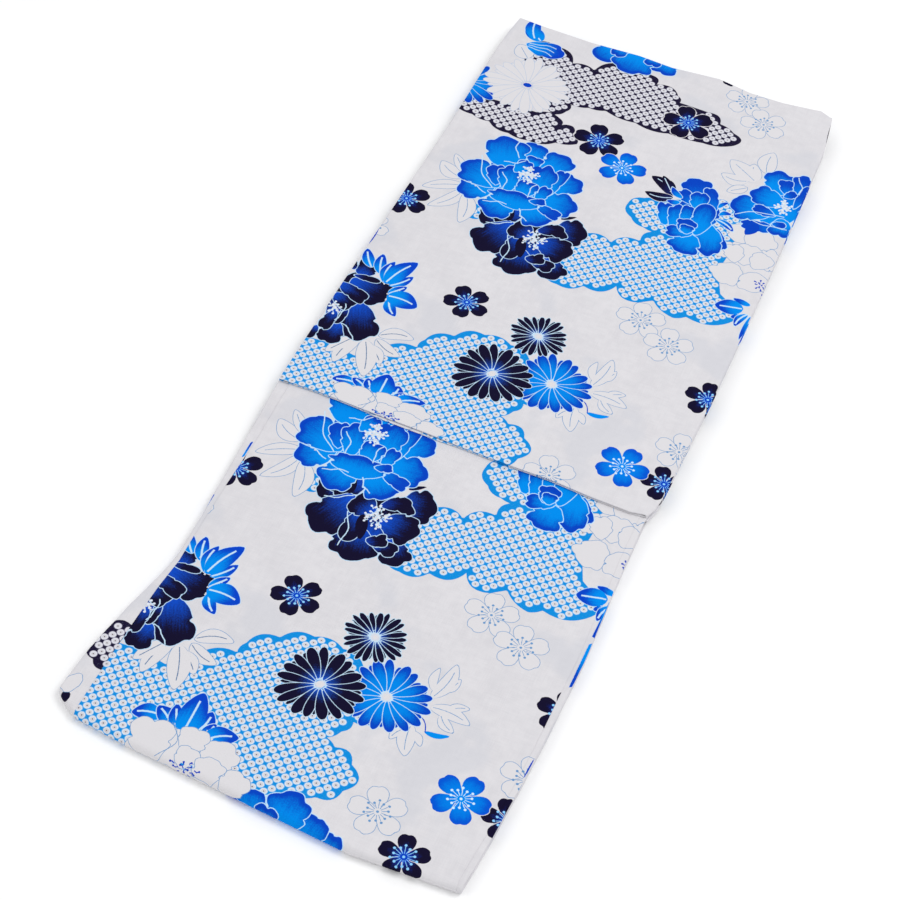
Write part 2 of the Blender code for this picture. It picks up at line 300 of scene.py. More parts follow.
def blossom_petal(heart: tuple, tip: tuple, width: float) -> Array:
    """Draw a cherry petal: an oval with one small dent in its tip."""
    turn = np.linspace(-pi, pi, 45)[:-1]
    dent = 1.0 - 0.17 * np.clip(1.0 - np.abs(turn) / 0.42, 0.0, 1.0) + 0.02 * np.cos(5.0 * turn)
    sideways = 0.5 * width * np.sin(turn) * dent * (1.0 + 0.28 * np.cos(turn))
    return placed(heart, tip, 0.5 + 0.5 * np.cos(turn) * dent, sideways)


@dataclass
class Stencil:
    """The marks of one length of cloth, the lowest first."""

    patches: list = field(default_factory=list)

    def fill(self, ink: str, outline: Array, heart: tuple, tip: tuple) -> None:
        """Add a filled patch, shaded from heart to tip."""
        self.patches.append(Patch(ink, np.asarray(outline), tuple(heart), tuple(tip)))

    def petal(self, ink: str, heart: tuple, tip: tuple, width: float, *shape: float) -> None:
        """Add a rounded patch, shaded from heart to tip."""
        self.fill(ink, rounded(heart, tip, width, *shape), heart, tip)

    def leaf(self, ink: str, heart: tuple, tip: tuple, width: float, bend: float = 0.0) -> None:
        """Add a pointed patch, shaded from heart to tip."""
        self.fill(ink, pointed(heart, tip, width, bend), heart, tip)

    def line(self, ink: str, points: Sequence[tuple]) -> None:
        """Add a line, one straight piece after another."""
        for start, end in zip(points, points[1:]):
            self.patches.append(Patch(ink, np.array((start, end), float), tuple(start), tuple(end)))

    def dot(self, ink: str, x: float, y: float) -> None:
        """Add a round dot."""
        self.patches.append(Patch(ink, np.array(((x, y), (x, y)), float), (x, y), (x, y + 1.0)))


class Press:
    """Lays marks on a mesh's faces, each in the highest of a few slots.

    A slot holds four numbers at each corner of a face: two of the mark's own
    measures, how far towards its tip the corner lies, and its ink.
    """

    def __init__(self, points: Array, faces: Array) -> None:
        """Take each point's place on flat cloth, and each face's four points."""
        self.points = points
        self.faces = faces
        corners = points[faces]
        self.low, self.high = corners.min(axis=1), corners.max(axis=1)
        self.middle = corners.mean(axis=1)
        self.slots = np.zeros((INKS_PER_FACE, len(faces), 4, 4), np.float32)
        self.cloud = np.zeros((len(faces), 4, 4), np.float32)
        self.cloud[:, :, 0] = NO_CLOUD

    def near(self, low: Array, high: Array) -> Array:
        """Return the faces that reach into a box on the cloth."""
        return np.nonzero((self.high > low).all(axis=1) & (self.low < high).all(axis=1))[0]

    def distance(self, faces: Array, outline: Array) -> Array:
        """Return how far inside an outline the corners of some faces lie."""
        used, place = np.unique(self.faces[faces], return_inverse=True)
        return signed_distance(self.points[used], outline)[place].reshape(-1, 4)

    def lay(self, patch: Patch, shift: tuple = (0.0, 0.0)) -> None:
        """Lay one mark, moved by a shift, on every face that it touches."""
        ink = INKS[patch.ink]
        outline = patch.outline + np.array(shift)
        margin = ink.width if ink.mark is Mark.BURST else MARK_REACH
        faces = self.near(outline.min(axis=0) - margin, outline.max(axis=0) + margin)
        if not len(faces):
            return
        heart = np.array(patch.heart) + np.array(shift)
        axis = np.array(patch.tip) - np.array(patch.heart)
        length = float(np.hypot(*axis))
        away = self.points[self.faces[faces]] - heart
        along = away @ axis / length
        across = away @ np.array((-axis[1], axis[0])) / length
        covered = np.zeros(len(faces), bool)
        if ink.mark is Mark.PATCH:
            first, second = self.distance(faces, outline), across
            touched = first.max(axis=1) > -SOFT_EDGE
            covered = first.min(axis=1) > ink.width + RIM_CLEAR
        elif ink.mark is Mark.LINE:
            first, second = across, np.minimum(along, length - along) + ink.width
            reach = ink.width + LINE_CLEAR
            touched = (first.min(axis=1) < reach) & (first.max(axis=1) > -reach)
            touched &= (along.max(axis=1) > -reach) & (along.min(axis=1) < length + reach)
        else:
            first, second = away[..., 0], away[..., 1]
            touched = (away.min(axis=1) < ink.width).all(axis=1) & (away.max(axis=1) > -ink.width).all(axis=1)
        number = np.full_like(first, INK_NUMBER[patch.ink])
        where = faces[touched]
        self.slots[:-1, where] = self.slots[1:, where]
        self.slots[-1, where] = np.stack((first, second, along / length, number), axis=2)[touched]
        self.slots[:-1, faces[touched & covered]] = 0.0

    def lay_cloud(self, outline: Array, shade: float) -> None:
        """Lay a cloud of tied dots, each dot whole or left out.

        Args:
            outline: The cloud's edge.
            shade: 0 for a blue cloud, 1 for a navy one.
        """
        faces = self.near(outline.min(axis=0) - CLOUD_REACH, outline.max(axis=0) + CLOUD_REACH)
        if not len(faces):
            return
        depth = self.distance(faces, outline)
        held = self.cloud[faces]
        ahead = depth.max(axis=1) > held[:, :, 0].max(axis=1)
        fresh = np.zeros_like(held)
        fresh[:, :, 0] = np.maximum(depth, held[:, :, 0])
        fresh[:, :, 1] = np.where(ahead[:, None], shade, held[:, :, 1])
        for slot, offset in ((2, 0.0), (3, DOT_PITCH / 2)):
            dots = np.round((self.middle[faces] - offset) / DOT_PITCH) * DOT_PITCH + offset
            whole = signed_distance(dots, outline) > DOT_INSET
            fresh[:, :, slot] = np.maximum(held[:, :, slot], whole[:, None])
        self.cloud[faces] = fresh


# ============================================================= the printed motifs
# Peony petals: heart x, heart y, tip x, tip y, width, lobes, then a 1 for one in the
# flower's darker ink and how far it bends to its left; the lowest first.
BLUE_PEONY = (
    (-60, 192, -60, 256, 66, 1), (-46, 203, -26, 180, 29, 3), (-62, 204, -72, 172, 30, 3),
    (-76, 208, -105, 191, 27, 3), (-72, 210, -113, 224, 33, 3), (-64, 246, -64, 277, 24, 2),
    (-48, 240, -36, 273, 28, 3), (-76, 230, -91, 273, 38, 3), (-42, 222, -14, 248, 26, 3),
    (-44, 206, -7, 215, 30, 3), (-40, 203, -15, 196, 13, 2, 1), (-60, 244, -59, 260, 16, 2),
    (-77, 209, -86, 236, 18, 2, 1), (-66, 204, -75, 240, 20, 3), (-70, 232, -62, 252, 15, 2),
    (-38, 210, -31, 256, 13, 2), (-44, 208, -45, 254, 21, 3), (-54, 204, -53, 229, 20, 2),
    (-41, 204, -37, 229, 12, 2), (-56, 188, -58, 211, 46, 5), (-47, 204, -32, 209, 9, 2, 1),
)
NAVY_PEONY = (
    (-28, 134, -28, 184, 36, 1), (-54, 180, -76, 165, 23, 3), (-46, 194, -66, 168, 24, 2),
    (-46, 176, -65, 131, 34, 3), (-18, 180, 11, 188, 32, 3), (-10, 150, 5, 125, 25, 3),
    (-34, 150, -28, 116, 36, 3), (-38, 166, -39, 131, 17, 1), (-29, 172, -2, 178, 16, 3, 1, 0.2),
    (-24, 161, 8, 159, 30, 3), (-28, 166, -49, 173, 25, 2, 0, 0.06), (-22, 139, 1, 137, 15, 2),
    (-26, 138, -10, 147, 13, 2, 1, -0.1),
)
EDGE_PEONY = (
    (-134, -8, -134, 64, 26, 1), (-135, 57, -131, 81, 20, 2), (-127, 35, -107, -9, 33, 3),
    (-128, 5, -131, -22, 21, 2), (-142, -5, -144, -23, 9, 1), (-128, 22, -131, 1, 8, 1, 1),
    (-136, 18, -138, -10, 12, 2), (-141, 54, -103, 44, 30, 3), (-146, 33, -125, 23, 17, 2),
    (-148, 46, -118, 34, 15, 2), (-141, 58, -117, 60, 8, 1, 1), (-141, 63, -148, 74, 9, 1, 1),
)
BUD_PEONY = (
    (84, 216, 84, 276, 38, 1), (86, 266, 67, 297, 27, 3, 1), (97, 264, 82, 292, 13, 2, 1),
    (78, 264, 61, 277, 15, 2, 1), (82, 256, 79, 283, 17, 2), (103, 247, 117, 221, 10, 2, 1),
    (98, 249, 105, 209, 25, 3), (88, 231, 84, 202, 27, 3), (64, 227, 55, 258, 14, 2),
    (72, 224, 66, 260, 15, 3), (90, 232, 65, 223, 15, 2), (77, 236, 75, 263, 12, 2),
    (90, 227, 89, 271, 20, 1), (80, 226, 80, 246, 18, 3, 1), (82, 226, 81, 239, 13, 2),
)
SIDE_PEONY = (
    (142, 262, 142, 330, 42, 1), (138, 308, 131, 340, 28, 3), (152, 316, 152, 344, 18, 3, 1),
    (144, 312, 138, 332, 14, 2, 1), (142, 308, 152, 319, 10, 2, 1), (154, 268, 118, 260, 15, 2, 1),
    (150, 284, 152, 258, 20, 2), (141, 284, 104, 280, 32, 3), (147, 301, 115, 303, 26, 3),
    (154, 296, 158, 332, 9, 1, 1), (144, 282, 122, 286, 13, 2, 1), (142, 272, 155, 275, 9, 1, 1),
)
TOP_PEONY = (
    (-46, 438, -58, 407, 26, 1), (-2, 442, -3, 413, 28, 2), (-26, 440, -30, 401, 38, 3),
    (-38, 442, -47, 418, 15, 2), (-14, 442, -12, 419, 16, 2),
)
LOW_PEONY = (
    (-2, -118, -8, -90, 22, 2), (52, -126, 57, -100, 18, 2), (36, -124, 42, -92, 24, 2),
    (20, -120, 20, -81, 31, 3), (6, -122, 8, -98, 18, 2), (-20, -130, -12, -102, 20, 2),
)
WHITE_PEONY = (
    (-78, -102, -102, -96, 24, 2), (-80, -104, -90, -66, 31, 2), (-26, -106, -15, -84, 22, 2),
    (-42, -94, -35, -65, 27, 3), (-60, -86, -59, -62, 22, 2), (-58, -98, -57, -78, 17, 2),
    (-40, -106, -40, -80, 22, 3), (-66, -98, -76, -122, 28, 3), (-48, -98, -38, -126, 30, 3),
)
PALE_PEONY = (
    (128, 236, 119, 260, 24, 3), (134, 232, 146, 260, 28, 3), (128, 222, 112, 226, 22, 2),
    (142, 222, 164, 232, 28, 3), (134, 212, 122, 186, 28, 3), (146, 210, 154, 186, 28, 3),
    (136, 212, 136, 240, 24, 2), (130, 212, 121, 234, 18, 2), (144, 212, 152, 234, 20, 2),
)

# Leaves: heart x, heart y, tip x, tip y, width, bend; the lobes of one leaf together.
BLUE_LEAVES = (
    ((-130, 72, -142, 92, 11, 0.05),), ((-121, 68, -128, 92, 11, 0.05),),
    ((-114, 60, -116, 88, 10, 0.12), (-110, 59, -96, 78, 10, -0.05), (-114, 60, -99, 95, 17, 0.06)),
    ((-107, 50, -96, 65, 9, 0), (-104, 46, -92, 29, 11, -0.1), (-107, 48, -80, 46, 20, 0.08)),
    ((156, 170, 140, 172, 7, 0), (152, 155, 145, 150, 7, 0), (152, 164, 129, 158, 18, 0)),
    ((157, 160, 151, 141, 8, -0.1),), ((160, 160, 158.5, 127, 5, 0),), ((97, 269, 104, 281, 5, 0.1),),
    ((100, 261, 111, 267, 6, 0.2),), ((99, 256, 118, 247, 8, 0.1),), ((67, 267, 54, 278, 7, 0.1),),
    ((67, 262, 55, 259, 7, 0.1),), ((-110, 406, -130, 424, 17, 0), (-116, 406, -124, 438, 15, 0.1)),
)
LOW_LEAVES = (
    ((-86, -64, -107, -70, 15, -0.1),), ((-77, -69, -93, -57, 14, -0.06),),
    ((-70, -72, -82, -50, 12, 0.05), (-63, -70, -57, -46, 15, -0.1), (-68, -74, -69, -34, 20, 0)),
    ((-54, -70, -51, -54, 11, 0), (-49, -73, -32, -69, 11, -0.1), (-54, -72, -32, -58, 17, 0.12)),
)
NAVY_LEAVES = (
    ((59, 267, 34, 283, 15, -0.12), (55, 272, 43, 288, 9, 0)), ((60, 265, 35, 261, 12, 0.12),),
    ((-16, 195.5, -3, 204.5, 4.5, 0),),
)
WHITE_LEAVES = (
    ((-105, 205, -129, 218, 16, 0.1),), ((-100, 198, -132, 181, 12, -0.05),),
    ((-98, 195, -119, 161, 13, 0.1),), ((-96, 190, -88, 153, 15, 0.1),), ((-106, 212, -122, 232, 10, 0),),
    ((70, 34, 67, 55, 7, 0.1), (74, 36, 84, 52, 8, -0.1), (71, 28, 77, 63, 12, -0.08)),
    ((84, 22, 99, 31, 8, 0.1), (82, 18, 96, 7, 9, -0.1), (73, 21, 104, 18, 12, 0.08)),
    ((66, -2, 58, -16, 8, -0.1), (69, -3, 80, -13, 7, 0.1), (67, 2, 73, -25, 13, -0.05)),
    ((116, 318, 108, 338, 15, 0.1), (110, 314, 86, 313, 15, 0.15), (116, 316, 88, 334, 19, 0)),
    ((112, 306, 97, 293, 11, 0),), ((121, 330, 119, 360, 17, 0.08),), ((-112, 378, -126, 394, 18, 0),),
)
# Leaves under the dark peony, whose midribs are darker.
PALE_LEAVES = (
    ((-96, 4, -69, 13, 13, 0.14),), ((-96, 0, -72, -10, 13, -0.1),),
    ((-108, -4, -116, -38, 14, -0.08), (-112, -6, -126, -30, 12, 0)),
    ((-98, -8, -82, -24, 12, 0.05), (-103, -4, -89, -42, 17, 0.04)),
)

# Creases inside a peony: from, to, and how far they bow, as a share of their length.
BLUE_CREASES = (
    ((-80, 270), (-72, 252), -0.12), ((-101, 240), (-80, 206), -0.1), ((-82, 242), (-66, 250), -0.12),
    ((-78, 228), (-71, 208), 0.14), ((-103, 204), (-82, 197), 0.06), ((-50, 192), (-40, 181), -0.1),
    ((-80, 187), (-62, 193), 0.06), ((-48, 226), (-48, 208), -0.12),
)
NAVY_CREASES = (((-47, 158), (-41, 126), 0.1), ((-68, 164), (-50, 174), -0.06))
NAVY_SHADES = (((-36, 161), (-29, 137), 9), ((-53, 174), (-57, 193), 8))
EDGE_CREASES = (((-132, 25), (-133, 5), 0.1), ((-126, 4), (-112, -9), 0.1))
SIDE_CREASES = (
    ((112, 270), (150, 284), 0.1), ((128, 268), (156, 271), -0.05), ((147, 338), (154, 318), 0.1),
)

# Blossoms: x, y, reach, turn of the first petal in degrees, ink; the lowest first.
SAKURA = (
    (78, 414, 20, 96, "white_petal"), (100, 391, 21, 118, "white_petal"), (82, 114, 21, 101, "white_petal"),
    (111, 96, 21, 102, "white_petal"), (74, -73, 21, 111, "white_petal"), (154, -7, 20, 96, "white_petal"),
    (-151, 118, 17, 60, "white_petal"), (-20, 304, 23, 108, "navy_sakura"),
    (41, 362, 23, 113, "navy_sakura"), (9, 280, 22, 85, "blue_sakura"), (-48, 70, 20, 124, "navy_sakura"),
    (-137, 161, 21, 43, "navy_sakura"), (157, 55, 20, 98, "navy_sakura"),
    (154, -43, 19, 112, "navy_sakura"), (120, -40, 22, 74, "blue_sakura"),
    (103, -98, 19, 102, "navy_sakura"),
)

# Chrysanthemums: x, y, reach, number of broad petals, ink; the lowest first.
KIKU = (
    (-150, 325, 33, 17, "blue_kiku"), (-100, 344, 39, 20, "white_kiku"), (43, 16, 33, 17, "blue_kiku"),
    (16, 60, 25, 21, "navy_kiku"), (-2, 6, 33, 17, "navy_kiku"),
)

# Clouds: corners in order round the cloud, anticlockwise, and how far each
# side bulges on its way to the next corner, as a share of its length.
NAVY_CLOUDS = (
    ((-120, 388, 0), (-112, 370, 0), (-84, 340, 0), (-72, 321, 0.3), (-58, 327, 0.2), (-58, 338, 0.1),
     (-42, 341, 0.1), (-28, 344, 0.08), (0, 341, 0.1), (30, 341, 0.05), (60, 343, 0.1), (85, 352, 0.4),
     (80, 368, 0.1), (66, 374, 0.3), (52, 384, 0), (26, 384, 0.2), (22, 392, 0.25), (0, 399, 0.3),
     (-8, 409, 0.1), (-30, 411, 0.22), (-55, 391, 0.18), (-75, 391, 0.25), (-97, 406, 0.2),
     (-114, 404, 0.1)),
    ((-146, 290, 0.1), (-128, 286, 0.1), (-112, 284, 0.15), (-92, 277, 0.1), (-74, 276, 0.15),
     (-52, 284, 0.1), (-35, 291, 0.2), (-43, 301, 0.2), (-46, 311, 0.2), (-57, 305, 0.3), (-60, 316, 0.2),
     (-80, 314, 0), (-118, 313, 0), (-146, 306, 0)),
)
BLUE_CLOUDS = (
    ((28, 241, 0.2), (36, 225, 0.15), (49, 218, 0.1), (62, 217, 0), (100, 215, 0.1), (120, 234, 0.15),
     (122, 252, 0.15), (116, 270, 0.1), (98, 282, 0), (60, 262, 0), (50, 254, 0.2), (38, 253, 0.2)),
    ((-4, 132, 0.25), (8, 122, 0.2), (28, 130, 0.24), (52, 142, 0.25), (74, 132, 0), (84, 140, 0.1),
     (104, 128, 0.1), (113, 134, 0.2), (150, 149, 0.1), (150, 158, 0), (130, 172, 0), (120, 198, 0),
     (122, 218, 0), (98, 224, 0), (62, 218, 0.25), (52, 201, 0.22), (31, 188, 0.2), (10, 190, 0.1),
     (-2, 176, 0), (-6, 150, 0)),
    ((-150, -112, 0), (-118, -116, 0), (-85, -120, 0), (-40, -124, 0), (6, -126, 0), (14, -86, 0.1),
     (33, -80, 0.25), (47, -68, 0.35), (44, -46, 0.3), (28, -38, 0.1), (20, -33, 0.1), (27, -24, 0.2),
     (31, -13, 0.25), (44, -6, 0.1), (32, 12, 0), (18, 34, 0.15), (0, 41, 0.16), (-22, 42, 0.2),
     (-43, 31, 0.22), (-62, 16, 0.15), (-64, 6, 0.15), (-86, -3, 0), (-80, -12, 0), (-104, -24, 0),
     (-126, -20, 0), (-150, -22, 0)),
    ((-91, 172, 0.3), (-83, 163, 0.3), (-74, 172, 0.3), (-83, 181, 0.3)),
)

# The strips' own marks: a cloud, and the bars of one motif: corners, heart and tip.
STRIP_CLOUD = ((-158, -34, 0.2), (-150, -41, 0.2), (-140, -47, 0), (-136, -46, 0), (-136, -6, 0.1),
               (-146, -2, 0.25), (-153, -12, 0.25))
STRIP_BARS = (
    (((-138.4, 172), (-136.8, 173.6), (-136.8, 190), (-138.4, 188.4)), (-137.6, 172), (-137.6, 190)),
    (((-144.65, 113), (-140.15, 117.5), (-140.15, 131), (-144.65, 126.5)), (-142.4, 113), (-142.4, 131)),
    (((153.2, 78), (157.4, 82), (157.4, 124), (153.2, 120)), (155, 118), (155, 80)),
    (((153.4, 163), (157.8, 163), (157.4, 127), (152.8, 127)), (156, 160), (156, 127)),
)


# ======================================================= drawing with the motifs
WHITE_THREADS = ("white_line", "white_dot")
DARK_THREADS = ("blue_line", "navy_dot")
HEARTS = {                   # each blossom's heart: its glow and its stamens
    "navy_sakura": ("deep_patch", "light_burst"),
    "blue_sakura": ("blue_core", "white_burst"),
    "white_petal": ("white_core", "grey_burst"),
}
GOLDEN_TURN = 137.5          # degrees from one stamen to the next
PETAL_START = 0.06           # where a blossom's petals start, as a share of its reach
PETAL_WIDTH = 0.68           # a cherry petal's width and heart, as shares of its reach
HEART_WIDTH = 0.22
FAR_AWAY = 900.0             # a tip so far off that a mark keeps its heart's colour


def ring_point(x: float, y: float, radius: float, degrees: float) -> tuple:
    """Return the point at a distance and a direction from a centre."""
    return (x + radius * cos(radians(degrees)), y + radius * sin(radians(degrees)))


def peony(stencil: Stencil, petals: Sequence[tuple], *inks: str) -> None:
    """Draw a peony, petal by petal, in one ink or two."""
    for heart_x, heart_y, tip_x, tip_y, width, lobes, *extra in petals:
        darker, bend = (*extra, 0, 0)[:2]
        heart, tip = np.array((heart_x, heart_y), float), np.array((tip_x, tip_y), float)
        outline = rounded(heart, tip, width, lobes, 0.2, 0.32)
        share = np.clip((outline - heart) @ (tip - heart) / ((tip - heart) @ (tip - heart)), 0.0, 1.0)
        aside = np.array((heart_y - tip_y, tip_x - heart_x)) * bend
        stencil.fill(inks[darker], outline + np.outer(4.0 * share * (1.0 - share), aside), heart, tip)


def wave(stencil: Stencil, ink: str, start: tuple, end: tuple, bow: float, waver: float = 0.7) -> None:
    """Draw a crease in a petal or a vein in a leaf.

    Args:
        stencil: The marks to add to.
        ink: The line's ink.
        start: Where it starts.
        end: Where it ends.
        bow: How far it bows to its left, as a share of its length.
        waver: How far it strays from that bow, in millimetres.
    """
    start, end = np.array(start, float), np.array(end, float)
    across = np.array((start[1] - end[1], end[0] - start[0]))
    length = float(np.hypot(*across))
    stencil.line(ink, [start + (end - start) * share + across * (
        bow * sin(pi * share) + waver / length * sin(9.0 * share + start[0]))
        for share in np.linspace(0.0, 1.0, max(5, int(length / 2.6)))])


def leaves(stencil: Stencil, groups: Sequence[tuple], ink: str, core: str, vein: str) -> None:
    """Draw leaves, each of one or more lobes with a midrib in every broad lobe."""
    for lobes in groups:
        for row in lobes:
            stencil.leaf(ink, row[:2], row[2:4], *row[4:])
        for heart_x, heart_y, tip_x, tip_y, width, bend in lobes:
            heart, tip = np.array((heart_x, heart_y), float), np.array((tip_x, tip_y), float)
            if len(lobes) > 1:
                nearer = tip + (heart - tip) * 1.1 / np.hypot(*(heart - tip))
                stencil.fill(core, pointed(heart, nearer, width - 1.3, bend), heart, tip)
            if width >= 8:
                side = np.array((heart_y - tip_y, tip_x - heart_x))
                stencil.line(vein, [heart + (tip - heart) * share + side * bend * sin(pi * share)
                                    for share in np.linspace(0.08, 0.78, 6)])


def sakura(stencil: Stencil, x: float, y: float, reach: float, turn: float, ink: str) -> None:
    """Draw a cherry blossom: five notched petals round a small heart."""
    for number in range(5):
        heart, tip = (ring_point(x, y, share * reach, turn + 72.0 * number)
                      for share in (PETAL_START, 1.0))
        stencil.fill(ink, blossom_petal(heart, tip, PETAL_WIDTH * reach), heart, tip)
    wide = HEART_WIDTH * reach
    glow, burst = HEARTS[ink]
    stencil.fill(glow, rounded((x - wide, y), (x + wide, y), 2.0 * wide), (x, y), (x, y + FAR_AWAY))
    stencil.dot(burst, x, y)


def kiku(stencil: Stencil, x: float, y: float, reach: float, count: int, ink: str) -> None:
    """Draw a chrysanthemum: a ring of broad petals over a ring of narrow ones."""
    step = 360.0 / count
    for ring, length, share in ((0.5, 0.9, 0.62), (0.0, 1.0, 1.0)):
        for number in range(count):
            turn = step * (number + ring) + 3.0 * sin(2.7 * number)
            uneven = length * (0.95 + 0.05 * sin(5.1 * number + reach))
            wide = radians(step) * 0.66 * reach * share * (1.0 + 0.1 * sin(3.3 * number))
            heart, tip = (ring_point(x, y, far * reach, turn) for far in (PETAL_START, uneven))
            stencil.petal(ink, heart, tip, wide, 1, 0.0, 0.4)


def stamens(stencil: Stencil, centre: tuple, reach: tuple, count: int,
            inks: tuple = WHITE_THREADS) -> None:
    """Draw a peony's stamens: a cluster of short threads, each with a round end.

    Args:
        stencil: The marks to add to.
        centre: The middle of the cluster.
        reach: How far the cluster spreads across and along the cloth.
        count: How many threads there are.
        inks: The thread's ink and its end's.
    """
    for number in range(count):
        turn = radians(GOLDEN_TURN * number + 9.0 * sin(3.1 * number))
        spread = ((number + 0.5) / count) ** 0.5
        away = np.array((reach[0] * cos(turn), reach[1] * sin(turn)))
        end = np.array(centre) + away * spread
        start = np.array(centre) + away * max(0.05, spread - 0.25)
        bend = (start + end) / 2.0 + np.array((-away[1], away[0])) * 0.07 * sin(5.3 * number)
        stencil.line(inks[0], (start, bend, end))
        stencil.dot(inks[1], *end)


def creased(stencil: Stencil, creases: Sequence[tuple]) -> None:
    """Draw the pale creases that lie on a peony's petals."""
    for crease in creases:
        wave(stencil, "white_line", *crease)


def cloud_outline(corners: Sequence[tuple]) -> Array:
    """Draw a cloud's edge, anticlockwise: a curve that bulges outwards between its corners."""
    points = []
    for (x, y, bulge), (next_x, next_y, _) in zip(corners, corners[1:] + corners[:1]):
        run, outward = np.array((next_x - x, next_y - y)), np.array((next_y - y, x - next_x))
        for share in np.linspace(0.0, 1.0, 9)[:-1]:
            points.append(np.array((x, y)) + run * share + outward * bulge * 4.0 * share * (1.0 - share))
    return np.array(points)


def draw_ground(stencil: Stencil) -> None:
    """Draw what lies lowest: pale flowers and leaves, blossoms and two chrysanthemums."""
    leaves(stencil, WHITE_LEAVES, "white_petal", "white_core", "grey_line")
    leaves(stencil, PALE_LEAVES, "white_petal", "white_core", "vein_line")
    stencil.fill("blue_core", pointed((77, 0), (95, 4), 4.5, -0.1), (95, 4), (40, 0))
    wave(stencil, "blue_line", (68, 12), (78, 0), 0.14, waver=0.0)
    peony(stencil, PALE_PEONY, "white_petal")
    for blossom in SAKURA:
        sakura(stencil, *blossom)
    kiku(stencil, *KIKU[0])
    kiku(stencil, *KIKU[1])
    stencil.fill("deep_patch", rounded((-104, 344), (-96, 344), 5.5), (-100, 344), (-100, 330))


def draw_peonies(stencil: Stencil) -> None:
    """Draw the peonies, each with its creases and stamens."""
    leaves(stencil, NAVY_LEAVES, "navy_leaf", "navy_core", "white_line")
    peony(stencil, NAVY_PEONY, "navy_petal", "night_petal")
    for shade in NAVY_SHADES:
        stencil.leaf("navy_patch", *shade)
    creased(stencil, NAVY_CREASES)
    stamens(stencil, (-26, 163), (10.5, 12.0), 24)
    peony(stencil, BLUE_PEONY, "blue_petal", "deep_petal")
    creased(stencil, BLUE_CREASES)
    stencil.petal("deep_patch", (-60, 238), (-50, 248), 9.0, 2, 0.2)
    stamens(stencil, (-58, 235), (9.5, 11.5), 24)
    peony(stencil, EDGE_PEONY, "navy_petal", "night_petal")
    creased(stencil, EDGE_CREASES)
    stamens(stencil, (-139, 18), (6.0, 8.0), 11)
    peony(stencil, BUD_PEONY, "blue_petal", "deep_petal")
    peony(stencil, SIDE_PEONY, "blue_petal", "deep_petal")
    stencil.leaf("deep_patch", (133, 266), (127, 249), 10.0)
    creased(stencil, SIDE_CREASES)
    stamens(stencil, (146, 296), (8.0, 9.5), 20)
    stamens(stencil, (156, 197), (6.0, 7.0), 11, DARK_THREADS)
    peony(stencil, TOP_PEONY + LOW_PEONY, "blue_petal")
    stencil.leaf("navy_patch", (-60, 429), (-92, 430), 5.0)
    stencil.petal("navy_patch", (50, 432), (61, 429), 6.0, 2, 0.2)


def draw_print() -> Stencil:
    """Draw every flower and leaf of one length of the cloth, the lowest first."""
    stencil = Stencil()
    draw_ground(stencil)
    draw_peonies(stencil)
    leaves(stencil, BLUE_LEAVES, "blue_leaf", "blue_core", "leaf_line")
    stencil.petal("blue_leaf", (-122, 396), (-85, 398), 23.0, 3, 0.12, 0.2)
    for rise in (-6.0, 0.0, 6.0):
        wave(stencil, "white_line", (-118, 396 + 0.4 * rise), (-95, 397 + rise), 0.06)
    for row in KIKU[2:]:
        kiku(stencil, *row)
    for x, y, reach in (row[:3] for row in KIKU[2:]):
        wide = 0.2 * reach
        stencil.fill("pale_patch", rounded((x - wide / 2, y), (x + wide / 2, y), wide), (x, y), (x, y + wide))
    return stencil


def low_marks(squeeze: float = 1.0, move: tuple = (0.0, 0.0)) -> list:
    """Draw the flowers along the lower fold, squeezed along the cloth and then moved."""
    stencil = Stencil()
    leaves(stencil, LOW_LEAVES, "blue_leaf", "blue_core", "leaf_line")
    stencil.petal("white_core", (-61, -130), (-61, -68), 78.0)
    peony(stencil, WHITE_PEONY, "white_petal")
    wave(stencil, "grey_line", (-77, -66), (-78, -95), 0.3)
    stamens(stencil, (-55, -96), (13.0, 6.0), 12, DARK_THREADS)
    scale, move = np.array((1.0, squeeze)), np.array(move)
    return [Patch(patch.ink, *(np.array(place) * scale + move
                               for place in (patch.outline, patch.heart, patch.tip)))
            for patch in stencil.patches]


def sleeve_marks() -> list:
    """Draw the dark slivers that show along the sleeve's own folds."""
    stencil = Stencil()
    stencil.leaf("navy_patch", (158.5, 384), (153, 426), 2.4, 0.02)
    stencil.leaf("deep_patch", (-143.5, 96), (-143, 118), 2.6)
    return stencil.patches


def strip_marks() -> list:
    """Draw the few marks that show along the two narrow edges of the body."""
    stencil = Stencil()
    for corners, heart, tip in STRIP_BARS:
        stencil.fill("blue_strip", np.array(corners), heart, tip)
    stencil.leaf("deep_patch", (152.6, 12), (151.6, -7), 1.2)
    stencil.leaf("navy_patch", (151, -26), (151, -38), 3.6)
    stencil.leaf("navy_patch", (150, -104), (150, -108), 3.0)
    stencil.petal("navy_patch", (-152, -72), (-153, -82), 7.0)
    stencil.petal("white_petal", (-150, -55), (-157, -74), 12.0, 2, 0.1, 0.2)
    stamens(stencil, (153, 200), (3.0, 7.0), 6, DARK_THREADS)
    return stencil.patches


# ============================================================ cut: shapes of cloth
def smooth_step(start: float, end: float, at: Array) -> Array:
    """Return 0 before start and 1 after end, with an even slope between."""
    share = np.clip((at - start) / (end - start), 0.0, 1.0)
    return share * share * (3.0 - 2.0 * share)


